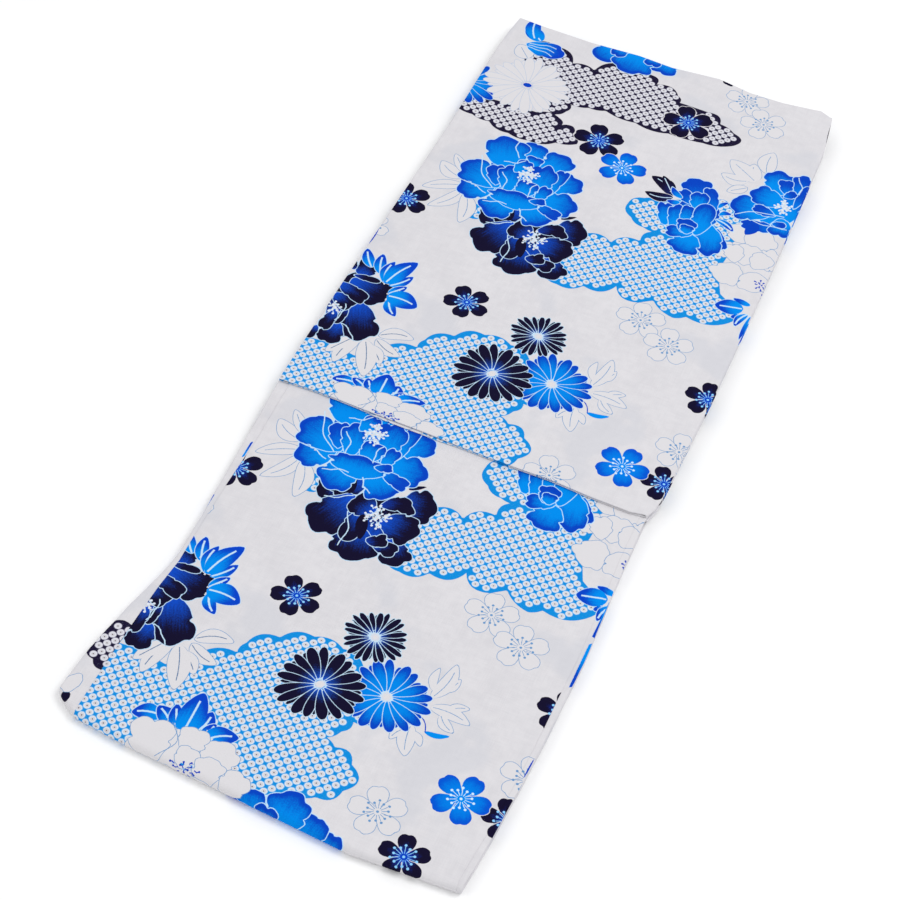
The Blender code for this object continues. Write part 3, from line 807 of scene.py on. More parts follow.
@dataclass(frozen=True)
class Crease:
    """One soft fold in the cloth, from one point to another.

    height is above the cloth around it where positive, and below it where
    negative; reach is how far it spreads to each side.
    """

    start: tuple
    end: tuple
    height: float
    reach: float

    def lift(self, x: Array, y: Array) -> Array:
        """Return how far this crease lifts the cloth at each place."""
        run = np.array(self.end, float) - self.start
        length = np.hypot(*run)
        along = ((x - self.start[0]) * run[0] + (y - self.start[1]) * run[1]) / length
        across = ((x - self.start[0]) * -run[1] + (y - self.start[1]) * run[0]) / length
        across = across + 0.08 * self.reach * np.sin(along / (0.9 * self.reach + 4.0))
        past = np.maximum(np.maximum(-along, along - length), 0.0)
        fade = np.exp(-(past / (1.5 * self.reach)) ** 2)
        ease = 0.6 + 0.4 * np.cos(2.0 * pi * (along / length - 0.4))
        return self.height * fade * ease * np.exp(-(across / self.reach) ** 2)


SLEEVE_CREASES = tuple(Crease(*row) for row in (
    ((-150, 52), (165, 40), 0.9, 11), ((-150, 36), (165, 24), -0.5, 9), ((-120, 216), (150, 206), 0.5, 16),
    ((-60, 330), (130, 318), -0.4, 18), ((20, 420), (60, 290), 0.5, 12), ((-100, 425), (-92, 300), 0.4, 14),
    ((118, 430), (104, 330), 0.55, 10), ((95, -70), (120, 60), 0.5, 14), ((-30, -70), (-42, 70), 0.4, 15),
    ((60, 130), (158, 118), 0.45, 12), ((-140, 130), (-70, 118), 0.4, 12), ((134, 60), (142, 240), 0.4, 12),
    ((-128, 240), (-120, 400), -0.4, 12), ((10, 70), (24, 250), 0.35, 20),
))
BODY_CREASES = tuple(Crease(*row) for row in (
    ((-140, -118), (150, -126), 0.5, 13), ((-140, -210), (60, -204), -0.4, 14),
    ((20, -250), (150, -262), 0.45, 12), ((-130, -300), (40, -316), 0.4, 15),
    ((60, -90), (84, -420), 0.35, 15), ((-60, -140), (-78, -420), 0.4, 14),
    ((-140, -360), (148, -372), 0.45, 12), ((118, -110), (128, -300), -0.35, 12),
    ((-122, -180), (-128, -400), 0.35, 9),
))


def rumple(creases: Sequence[Crease], x: Array, y: Array) -> Array:
    """Return how far hand-worn creases and slack lift the cloth at each place."""
    total = 0.16 * np.sin(x / 23.0 + 0.6 * np.sin(y / 41.0)) * np.sin(y / 31.0 + 1.7)
    total = total + 0.05 * np.sin(x / 7.3 + y / 19.0) * np.sin(y / 9.1 - x / 27.0)
    for crease in creases:
        total = total + crease.lift(x, y)
    return total


def body_place(x: Array, length: Array, depth: Array) -> Array:
    """Put points of the body's cloth where the folded packet has them.

    Args:
        x: Across the packet.
        length: Along the cloth, in the print's own Y; it runs down the top,
            round the end fold and back along the underside.
        depth: How far under the outermost layer, whichever way up it is.

    Returns:
        The places, with x, y and z last.
    """
    x, length, depth = np.broadcast_arrays(x, length, depth)
    turn_y = np.interp(x, END_X, END_Y) + END_RADIUS
    past = turn_y + PRINT_SHIFT - length
    on_top, beneath = past <= 0.0, past >= ARC
    angle, reach = np.clip(past / ARC, 0.0, 1.0) * pi, END_RADIUS - depth
    top_y = np.maximum(length - PRINT_SHIFT, turn_y)
    under_y = np.maximum(turn_y + (past - ARC), turn_y)
    calm = smooth_step(0.0, 26.0, -past) * np.clip(1.0 - depth / 4.0, 0.0, 1.0)
    lift = rumple(BODY_CREASES, x, top_y) * calm
    y = np.where(on_top, top_y, np.where(beneath, under_y, turn_y - reach * np.sin(angle)))
    top_z = LOW_TOP + (HIGH_TOP - LOW_TOP) * smooth_step(RISE[0], RISE[1], top_y)
    height = np.where(on_top, top_z - depth, END_RADIUS + reach * np.cos(angle))
    return np.stack((x, y, np.where(beneath, depth, height) + lift), axis=-1)


@dataclass
class Sheet:
    """A grid of cloth: where each point is, and where it was on flat cloth."""

    spots: Array
    cloth: Array

    def joined(self, other: "Sheet") -> "Sheet":
        """Return this sheet with another's rows added after its own."""
        return Sheet(np.concatenate((self.spots, other.spots)), np.concatenate((self.cloth, other.cloth)))

    def turned(self) -> "Sheet":
        """Return the sheet with its other side outwards."""
        return Sheet(self.spots[:, ::-1], self.cloth[:, ::-1])


def body_sheet(x: Array, cloth_x: Array, length: Array, depth: Array) -> Sheet:
    """Return a sheet of the body's cloth, where the folded packet has it."""
    return Sheet(body_place(x, length, depth), np.stack(np.broadcast_arrays(cloth_x, length), axis=-1))


def lattice(first: float, last: float, step: float) -> Array:
    """Return the places from first to last on the print's own lattice."""
    return np.arange(round(first / step), round(last / step) + 1) * step


def ends(low: float, high: float, step: float) -> Array:
    """Return evenly spaced places from low to high, no further apart than step."""
    return np.linspace(low, high, max(2, int(np.ceil(abs(high - low) / step)) + 1))


def warped(base: Array, first: Array, last: Array, band: float) -> Array:
    """Move the ends of a row to first and last, easing the move over a band.

    Args:
        base: Evenly spaced places, n.
        first: Where each row starts, rows.
        last: Where each row ends, rows.
        band: How far from each end its points still move.

    Returns:
        The places, rows x n.
    """
    low = np.clip(1.0 - (base - base[0]) / band, 0.0, 1.0)
    high = np.clip(1.0 - (base[-1] - base) / band, 0.0, 1.0)
    return base + np.outer(first - base[0], low) + np.outer(last - base[-1], high)


def rolled(depth: Array, radius: float) -> tuple:
    """Wrap cloth over an edge: return how far outwards and down each point lies.

    Args:
        depth: How far past the edge's own line each point lies, along the cloth.
        radius: How tightly the cloth turns.
    """
    angle = np.clip(depth / radius, 0.0, pi)
    return radius * np.sin(angle) - np.maximum(depth - pi * radius, 0.0), radius * (1.0 - np.cos(angle))


def framed(count: int, steps: int) -> tuple:
    """Add a turned-under edge of a few steps at both ends of a row of points.

    Returns:
        How far into the edge each point lies, as a share, negative at the first
        end; and which of the row's own points it follows.
    """
    past = np.arange(1, steps + 1) / steps
    far = np.concatenate((-past[::-1], np.zeros(count), past))
    return far, np.clip(np.arange(len(far)) - steps, 0, count - 1)


@dataclass(frozen=True)
class SleevePiece:
    """A flat sleeve: an upper and a lower layer that close along some edges."""

    low: float
    high: float
    step: float
    creases: Sequence[Crease]

    def edges(self, columns: Array, rows: Array, upper: bool) -> tuple:
        """Find a layer's edges.

        Returns:
            Where its flat part ends on the left, right, bottom and top, then how
            tightly the cloth turns under there.
        """
        hem, inset = (0.5, 0.0) if upper else (0.4, 0.9)
        shut = (self.high - self.low) / 2.0 if upper else hem
        folded = smooth_step(CUFF_Y - 6.0, CUFF_Y + 6.0, rows)
        left_radius, right_radius = (hem + (shut - hem) * closed for closed in (folded, 1.0 - folded))
        left = np.interp(rows, SLEEVE_Y, SLEEVE_LEFT) + left_radius + inset * folded
        right = np.interp(rows, SLEEVE_Y, SLEEVE_RIGHT) - right_radius - inset * (1.0 - folded)
        # The lower layer slips out a little below the upper one, along part of their fold.
        under = 0.0 if upper else 1.7 * np.exp(-((columns + 38.0) / 34.0) ** 6)
        lower = np.interp(columns, SLEEVE_X, SLEEVE_BOTTOM) + hem - under
        top = np.interp(columns, SLEEVE_X, SLEEVE_TOP) - shut - inset
        return (left, right, lower, top), (left_radius, right_radius, hem, shut)

    def layer(self, step: float, upper: bool) -> Sheet:
        """Return the upper or the lower layer, its edges turned under."""
        columns, rows = lattice(*SLEEVE_COLUMNS, step), lattice(*SLEEVE_ROWS, step)
        (left, right, lower, top), (left_radius, right_radius, hem, shut) = self.edges(columns, rows, upper)
        count, tail = (6, 1.2) if upper else (5, 8.0)
        (wide, column), (tall, row) = (framed(len(middle), count) for middle in (columns, rows))
        x = warped(columns, left, right, SLEEVE_BAND)[row][:, column]
        y = warped(rows, lower, top, SLEEVE_BAND).T[row][:, column]
        aside, ahead = np.broadcast_arrays(wide[None, :], tall[:, None])
        far_aside, far_ahead = np.abs(aside), np.abs(ahead)
        furthest = np.maximum(far_aside, far_ahead)
        side_radius = np.where(aside < 0.0, left_radius[row][:, None], right_radius[row][:, None])
        weight = far_aside / np.maximum(far_aside + far_ahead, 1e-9)
        radius = side_radius * weight + np.where(ahead < 0.0, hem, shut) * (1.0 - weight)
        depth = furthest * (pi * radius + tail)
        if not upper:        # four of its five steps go round the bend, the last lies flat
            depth = np.minimum(furthest / 0.8, 1.0) * pi * radius
            depth = depth + np.maximum(furthest - 0.8, 0.0) / 0.2 * tail
        out, down = rolled(depth, radius)
        length = np.maximum(np.hypot(aside, ahead), 1e-9)
        out_x, out_y = aside / length, ahead / length
        edge = np.minimum.reduce((x - left[row][:, None], right[row][:, None] - x,
                                  y - lower[column][None, :], top[column][None, :] - y))
        lift = rumple(self.creases, x, y) * (0.25 + 0.75 * smooth_step(0.0, 22.0, edge))
        height = self.high + lift - down if upper else self.low + 0.25 * np.abs(lift) + down
        sheet = Sheet(np.stack((x + out_x * out, y + out_y * out, height), axis=-1),
                      np.stack((x + out_x * depth, y + out_y * depth), axis=-1))
        return sheet if upper else sheet.turned()

    def sheets(self) -> list:
        """Return both layers."""
        return [self.layer(self.step, True), self.layer(2.0 * COARSE, False)]


@dataclass(frozen=True)
class PanelPiece:
    """The back's left half, from the shoulders round the end fold to the hem."""

    radius: float = 0.5
    tail: float = 2.5
    nose_tail: float = 10.0
    steps: int = 5

    def across(self, columns: Array, length: Array) -> tuple:
        """Return x, depth and the cloth's own x of each column, with its edges."""
        y = np.where(length > TURN, length - PRINT_SHIFT, 2 * (TURN - PRINT_SHIFT) - (length - PRINT_SHIFT))
        left, right = np.interp(y, BODY_Y, SIDE_SEAM), np.interp(y, BODY_Y, BACK_SEAM)
        past = np.arange(1, self.steps + 1) / self.steps * (pi * self.radius + self.tail)
        out, down = rolled(past, self.radius)
        x = warped(columns, left + self.radius, right - self.radius, PANEL_BAND)
        place, cloth = (np.concatenate((x[:, :1] - move[::-1], x, x[:, -1:] + move), axis=1)
                        for move in (out, past))
        depth = np.concatenate((down[::-1], np.zeros(len(columns)), down))
        return place, np.broadcast_to(depth, place.shape), cloth

    def top(self) -> Sheet:
        """Return the part on top, the shoulder fold and the end fold."""
        columns, shown = lattice(*PANEL_COLUMNS, FINE), lattice(LAST_SHOWN, UNDER_SLEEVE, FINE)
        covered = shown[-1] + ends(0.0, SHOULDER - shown[-1], DOT_PITCH)[1:]
        length = np.concatenate((shown, covered))
        x, depth, cloth_x = self.across(columns, length)
        main = body_sheet(x, cloth_x, length[:, None], depth)
        bend = np.arange(1, 9) / 8.0 * (pi * EDGE_RADIUS + self.nose_tail)
        x, depth, cloth_x = self.across(columns, np.full(len(bend), SHOULDER))
        out, down = (move[:, None] for move in rolled(bend, EDGE_RADIUS))
        height = HIGH_TOP - down - depth * (1.0 - down / EDGE_RADIUS)
        spots, cloth = (np.stack(np.broadcast_arrays(*parts), axis=-1) for parts in (
            (x, SHOULDER_Y + out, height), (cloth_x, SHOULDER + bend[:, None])))
        return main.joined(Sheet(spots, cloth))

    def underside(self) -> Sheet:
        """Return the part underneath, from the end fold to its rolled hem."""
        columns = lattice(*PANEL_COLUMNS, COARSE)
        turn = np.interp(columns, END_X, END_Y) + END_RADIUS
        hem = 2.0 * turn + PRINT_SHIFT - ARC - HEM_Y
        rows = lattice(float(hem.mean()), LAST_SHOWN, COARSE)
        rows[-1] = LAST_SHOWN
        length = warped(rows, hem, np.full(len(columns), LAST_SHOWN), 260.0).T
        x, depth, cloth_x = self.across(columns, length.mean(axis=1))
        length = np.pad(length, ((0, 0), (self.steps, self.steps)), mode="edge")
        bend = np.arange(1, 7) / 6.0 * (pi * self.radius + self.tail)
        out, down = rolled(bend[::-1], self.radius)
        roll = np.repeat(body_place(x[:1], length[:1], depth[:1]), len(bend), axis=0)
        roll[:, :, 1] += out[:, None]
        roll[:, :, 2] += down[:, None]
        main = body_sheet(x, cloth_x, length, depth)
        past = np.repeat(main.cloth[:1], len(bend), axis=0)
        past[:, :, 1] -= bend[::-1][:, None]
        return Sheet(roll, past).joined(main)

    def sheets(self) -> list:
        """Return the top and the underside."""
        return [self.top(), self.underside()]


def body_rows(fine: float) -> Array:
    """Return the rows of a strip or a leaf, from hem to shoulder, closest round the end fold."""
    hem = TURN - ARC - (HEM_Y - TURN + PRINT_SHIFT)
    before, after = TURN - ARC - 24.0, TURN + 24.0
    under = ends(hem, before, max(3.0 * fine, COARSE))
    bend = ends(before, after, FINE)
    shown = ends(after, UNDER_SLEEVE, fine)
    covered = ends(UNDER_SLEEVE, SHOULDER - 1.0, DOT_PITCH)
    return np.concatenate((under, bend[1:], shown[1:], covered[1:]))


def path_y(length: Array) -> Array:
    """Return the y in the outline tables for places along the cloth."""
    turn, past = TURN - PRINT_SHIFT, TURN - length
    return np.where(past < 0.0, length - PRINT_SHIFT, np.clip(turn + past - ARC, turn, None))


def slanted(x: Array, length: Array) -> Array:
    """Ease rows of cloth into line with the end fold, which isn't square.

    Args:
        x: Where each point lies across the packet, rows x columns.
        length: How far along the cloth each row is.

    Returns:
        How far along the cloth each point is.
    """
    offset = np.interp(x, END_X, END_Y) - END_MIDDLE
    past = TURN - ARC / 2 - length
    share = smooth_step(-330.0, 0.0, past) + smooth_step(0.0, 330.0, past)
    return length[:, None] + offset * share[:, None]


@dataclass(frozen=True)
class StripPiece:
    """A layer that shows along one long edge, turned under at its fold.

    side is -1 on the left and 1 on the right, and shown counts its flat columns.
    """

    side: float
    seam: Sequence[float]
    fold: Sequence[float]
    shown: int = 14
    top: float = 0.4
    under: float = 2.3
    reach: float = 45.0

    def sheet(self) -> Sheet:
        """Return the strip, from beneath the panel round its fold and back."""
        length = body_rows(FINE)
        y = path_y(length)
        radius = (self.under - self.top) / 2.0
        wobble = 0.35 * np.sin(y / 17.0 + self.side) + 0.25 * np.sin(y / 7.7)
        fold = np.interp(y, BODY_Y, self.fold) - self.side * (0.3 + 0.5 * np.abs(wobble))
        seam = (np.interp(y, BODY_Y, self.seam) - self.side * 4.0)[:, None]
        start = fold[:, None] - self.side * radius
        flat = seam + (start - seam) * np.linspace(0.0, 1.0, self.shown)
        angle = np.arange(1, 7) / 6.0 * pi
        inner = ends(0.0, self.reach, 7.5)[1:]
        bend = start + self.side * radius * np.sin(angle)
        x = np.concatenate((flat, bend, start - self.side * inner), axis=1)
        depth = np.concatenate((np.full(self.shown, self.top), self.top + radius * (1.0 - np.cos(angle)),
                                np.full(len(inner), self.under)))
        along = np.concatenate((flat, start + self.side * radius * angle,
                                start + self.side * (pi * radius + inner)), axis=1)
        place = slanted(x, length)
        sheet = body_sheet(x, along, place, depth)
        return sheet if self.side > 0.0 else sheet.turned()


@dataclass(frozen=True)
class LeafPiece:
    """One folded-away layer: a flat loop of cloth, closed at both ends."""

    top: float
    under: float
    inset: float
    setback: float
    phase: float
    columns: int = 22

    def sheet(self) -> Sheet:
        """Return the loop, all the way round and from hem to shoulder."""
        length = body_rows(3.0 * FINE)
        length = length[0] + self.setback + (length - length[0]) * (
            1.0 - 2.0 * self.setback / (length[-1] - length[0]))
        y = path_y(length)
        radius = (self.under - self.top) / 2.0
        wobble = 0.5 * np.sin(y / 21.0 + self.phase) + 0.4 * np.sin(y / 8.3 + 2.0 * self.phase)
        left = (np.interp(y, BODY_Y, LEFT_FOLD) + self.inset + radius + wobble)[:, None]
        right = (np.interp(y, BODY_Y, RIGHT_FOLD) - self.inset - radius + 0.8 * wobble)[:, None]
        angle = np.arange(1, 6) / 6.0 * pi
        upper = left + (right - left) * np.linspace(0.0, 1.0, self.columns)
        bend_out, bend_down = radius * np.sin(angle), radius * (1.0 - np.cos(angle))
        x = np.concatenate((upper, right + bend_out, upper[:, ::-1], left - bend_out, upper[:, :1]), axis=1)
        depth = np.concatenate((np.full(self.columns, self.top), self.top + bend_down,
                                np.full(self.columns, self.under), self.under - bend_down, (self.top,)))
        depth = np.repeat(depth[None, :], len(length), axis=0)
        depth[0] = depth[-1] = self.top + radius
        steps = np.hypot(np.diff(x, axis=1), np.diff(depth, axis=1))
        along = x[:, :1] + np.pad(np.cumsum(steps, axis=1), ((0, 0), (1, 0)))
        place = slanted(x, length)
        return body_sheet(x, along, place, depth)


# ================================================================= making meshes
REPEAT = 560.0               # the print repeats this far along the cloth


@dataclass(frozen=True)
class Printing:
    """Which print goes on a piece: the whole print's repeats, and marks of its own.

    bands are the stretches along the cloth that the whole print reaches.
    """

    repeats: Sequence[int] = ()
    extra: Sequence[Patch] = ()
    clouds: Sequence[tuple] = ()
    bands: Sequence[tuple] = ((-3000.0, 3000.0),)

    def reaches(self, place: float) -> bool:
        """Say whether the whole print reaches this place along the cloth."""
        return any(low < place < high for low, high in self.bands)

    def lay(self, press: Press, stencil: Stencil) -> None:
        """Lay the print on a piece's faces."""
        for repeat in self.repeats:
            move = (0.0, -REPEAT * repeat)
            for clouds, shade in ((NAVY_CLOUDS, 1.0), (BLUE_CLOUDS, 0.0)):
                for corners in clouds:
                    outline = cloud_outline(corners) + np.array(move)
                    if self.reaches(outline[:, 1].mean()):
                        press.lay_cloud(outline, shade)
            for patch in stencil.patches:
                if self.reaches(patch.heart[1] + move[1]):
                    press.lay(patch, move)
        for corners in self.clouds:
            press.lay_cloud(cloud_outline(corners), 1.0)
        for patch in self.extra:
            press.lay(patch)


def make_mesh(name: str, sheets: Sequence[Sheet]) -> tuple:
    """Make a mesh from grids of points.

    Args:
        name: The mesh's name.
        sheets: The grids.

    Returns:
        The mesh, and each point's place on flat cloth.
    """
    shape = bmesh.new()
    for number, sheet in enumerate(sheets):
        rows, columns = sheet.spots.shape[:2]
        bmesh.ops.create_grid(shape, x_segments=columns - 1, y_segments=rows - 1, size=1.0,
                              matrix=Matrix.Translation((0.0, 0.0, SHEET_STEP * number)))
    mesh = bpy.data.meshes.new(name)
    shape.to_mesh(mesh)
    shape.free()
    start = np.empty(len(mesh.vertices) * 3, np.float32)
    mesh.vertices.foreach_get("co", start)
    start = start.reshape(-1, 3)
    spots, cloth = np.empty((len(start), 3)), np.empty((len(start), 2))
    owner = np.rint(start[:, 2] / SHEET_STEP).astype(int)
    for number, sheet in enumerate(sheets):
        mine = owner == number
        last = np.array(sheet.spots.shape[1::-1]) - 1
        column, row = np.rint((start[mine, :2] + 1.0) / 2.0 * last).astype(int).T
        spots[mine], cloth[mine] = sheet.spots[row, column], sheet.cloth[row, column]
    mesh.vertices.foreach_set("co", (spots * MM).astype(np.float32).ravel())
    return mesh, cloth


def weave(name: str, sheets: Sequence[Sheet], stencil: Stencil,
          printing: Printing) -> bpy.types.Object:
    """Make one object of cloth, with its print.

    Args:
        name: The piece's name.
        sheets: Its grids.
        stencil: The print's marks.
        printing: Which of them go on this piece, and where.

    Returns:
        The object, at the origin.
    """
    mesh, cloth = make_mesh(name, sheets)
    corners = np.empty(len(mesh.loops), np.int32)
    mesh.loops.foreach_get("vertex_index", corners)
    press = Press(cloth, corners.reshape(-1, 4))
    printing.lay(press, stencil)
    layers = {f"ink_{slot}": press.slots[slot] for slot in range(INKS_PER_FACE)}
    for title, values in {**layers, "cloud": press.cloud}.items():
        mesh.attributes.new(title, "FLOAT_COLOR", "CORNER").data.foreach_set("color", values.ravel())
    flat = (cloth[corners] * MM).astype(np.float32).ravel()
    mesh.uv_layers.new(name="cloth").data.foreach_set("uv", flat)
    mesh.shade_smooth()
    mesh.update()
    piece = bpy.data.objects.new(name, mesh)
    bpy.context.scene.collection.objects.link(piece)
    printed = int((press.slots[-1, :, 0, 3] > 0).sum())
    log.info("%s: %d faces, %d with print", name, len(press.faces), printed)
    return piece


# ===================================================================== the finish
Operand = Union["Signal", float]


def operator(operation: str, swapped: bool = False) -> Callable:
    """Make an operator of Signal from a Math node, its values swapped if asked."""
    def apply(first: "Signal", *others: Operand) -> "Signal":
        """Pass the values through the node."""
        values = (first, *others)
        return first.math(operation, *(values[::-1] if swapped else values))
    return apply


class Signal:
    """A shader socket that takes part in arithmetic."""

    def __init__(self, tree: bpy.types.NodeTree, socket: bpy.types.NodeSocket) -> None:
        """Hold one output socket of a node tree."""
        self.tree = tree
        self.socket = socket

    def math(self, operation: str, *values: Operand) -> "Signal":
        """Pass values through a Math node."""
        made = self.tree.nodes.new("ShaderNodeMath")
        made.operation = operation
        for socket, value in zip(made.inputs, values):
            if isinstance(value, Signal):
                self.tree.links.new(value.socket, socket)
            else:
                socket.default_value = value
        return Signal(self.tree, made.outputs[0])

    __add__ = __radd__ = operator("ADD")
    __sub__ = operator("SUBTRACT")
    __rsub__ = operator("SUBTRACT", swapped=True)
    __mul__ = __rmul__ = operator("MULTIPLY")
    __truediv__ = operator("DIVIDE")
    __abs__ = operator("ABSOLUTE")
    least = operator("MINIMUM")
    most = operator("MAXIMUM")
    over = operator("GREATER_THAN")
    modulo = operator("MODULO")
    arctan = operator("ARCTAN2")
    floor = operator("FLOOR")
    fraction = operator("FRACT")
    sine = operator("SINE")
    root = operator("SQRT")

    def step(self, low: float, high: float) -> "Signal":
        """Return 0 below low and 1 above high, with a soft slope between."""
        made = self.tree.nodes.new("ShaderNodeMapRange")
        made.interpolation_type = "SMOOTHSTEP"
        self.tree.links.new(self.socket, made.inputs["Value"])
        made.inputs["From Min"].default_value = low
        made.inputs["From Max"].default_value = high
        return Signal(self.tree, made.outputs["Result"])

    def length_with(self, other: "Signal") -> "Signal":
        """Return the length of the line that has these two values as its sides."""
        return (self * self + other * other).root()


class Paint:
    """Builds one material's node tree."""

    def __init__(self, name: str) -> None:
        """Make an empty material of that name."""
        self.material = bpy.data.materials.new(name)
        self.material.use_nodes = True
        self.tree = self.material.node_tree
        self.tree.nodes.clear()

    def node(self, kind: str, settings: Optional[dict] = None, **inputs: Any) -> bpy.types.Node:
        """Make a node, change its settings, then fill its inputs.

        Args:
            kind: The node's type.
            settings: Its own properties, set before its inputs.
            inputs: Its inputs' values or links, an underscore for a space.

        Returns:
            The node.
        """
        made = self.tree.nodes.new(kind)
        for key, value in (settings or {}).items():
            setattr(made, key, value)
        for key, value in inputs.items():
            name = key.replace("_", " ")
            socket = next(one for one in made.inputs if one.name == name and one.enabled)
            if isinstance(value, Signal):
                self.tree.links.new(value.socket, socket)
            elif isinstance(value, tuple) and len(value) == 3 and socket.type == "RGBA":
                socket.default_value = (*value, 1.0)
            else:
                socket.default_value = value
        return made

    def output(self, made: bpy.types.Node, name: str) -> Signal:
        """Return one enabled output of a node."""
        return Signal(self.tree, next(one for one in made.outputs if one.name == name and one.enabled))

    def parts(self, vector: Signal) -> tuple:
        """Return a vector's x, y and z."""
        made = self.node("ShaderNodeSeparateXYZ", None, Vector=vector)
        return tuple(self.output(made, axis) for axis in "XYZ")

    def attribute(self, name: str) -> tuple:
        """Return the four values of a colour attribute."""
        made = self.node("ShaderNodeAttribute", {"attribute_name": name})
        return (*self.parts(self.output(made, "Vector")), self.output(made, "Alpha"))

    def blend(self, share: Operand, first: Any, second: Any) -> Signal:
        """Mix two colours."""
        made = self.node("ShaderNodeMix", {"data_type": "RGBA"}, Factor=share, A=first, B=second)
        return self.output(made, "Result")

    def noise(self, place: Signal, scale: float, detail: float = 3.0) -> Signal:
        """Return soft noise between 0 and 1."""
        made = self.node("ShaderNodeTexNoise", None, Vector=place, Scale=scale, Detail=detail)
        return self.output(made, "Fac")

    def thread_noise(self, place: Signal, across: float, along: float) -> Signal:
        """Return noise that is drawn out along the cloth's threads."""
        made = self.node("ShaderNodeVectorMath", {"operation": "MULTIPLY"})
        self.tree.links.new(place.socket, made.inputs[0])
        made.inputs[1].default_value = (across, along, 1.0)
        return self.noise(self.output(made, "Vector"), 1.0, 2.0)

    def ramp(self, number: Signal, colours: Sequence[tuple]) -> tuple:
        """Look a colour and a number up by an ink's number.

        Args:
            number: The ink's number, as a share of the ramp's steps.
            colours: A colour with its number as alpha for each ink, from ink 0.

        Returns:
            The colour, and the number.
        """
        made = self.tree.nodes.new("ShaderNodeValToRGB")
        table = made.color_ramp
        table.interpolation = "CONSTANT"
        for step, colour in enumerate(colours):
            place = max(0.0, (step - 0.5) / RAMP_STEPS)
            entry = table.elements[step] if step < 2 else table.elements.new(place)
            entry.position = place
            entry.color = colour
        self.tree.links.new(number.socket, made.inputs["Fac"])
        return self.output(made, "Color"), self.output(made, "Alpha")

    def finish(self, **inputs: Any) -> bpy.types.Material:
        """Return the material, with its surface made of these values."""
        skin = self.node("ShaderNodeBsdfPrincipled", None, **inputs)
        end = self.tree.nodes.new("ShaderNodeOutputMaterial")
        self.tree.links.new(skin.outputs[0], end.inputs["Surface"])
        return self.material


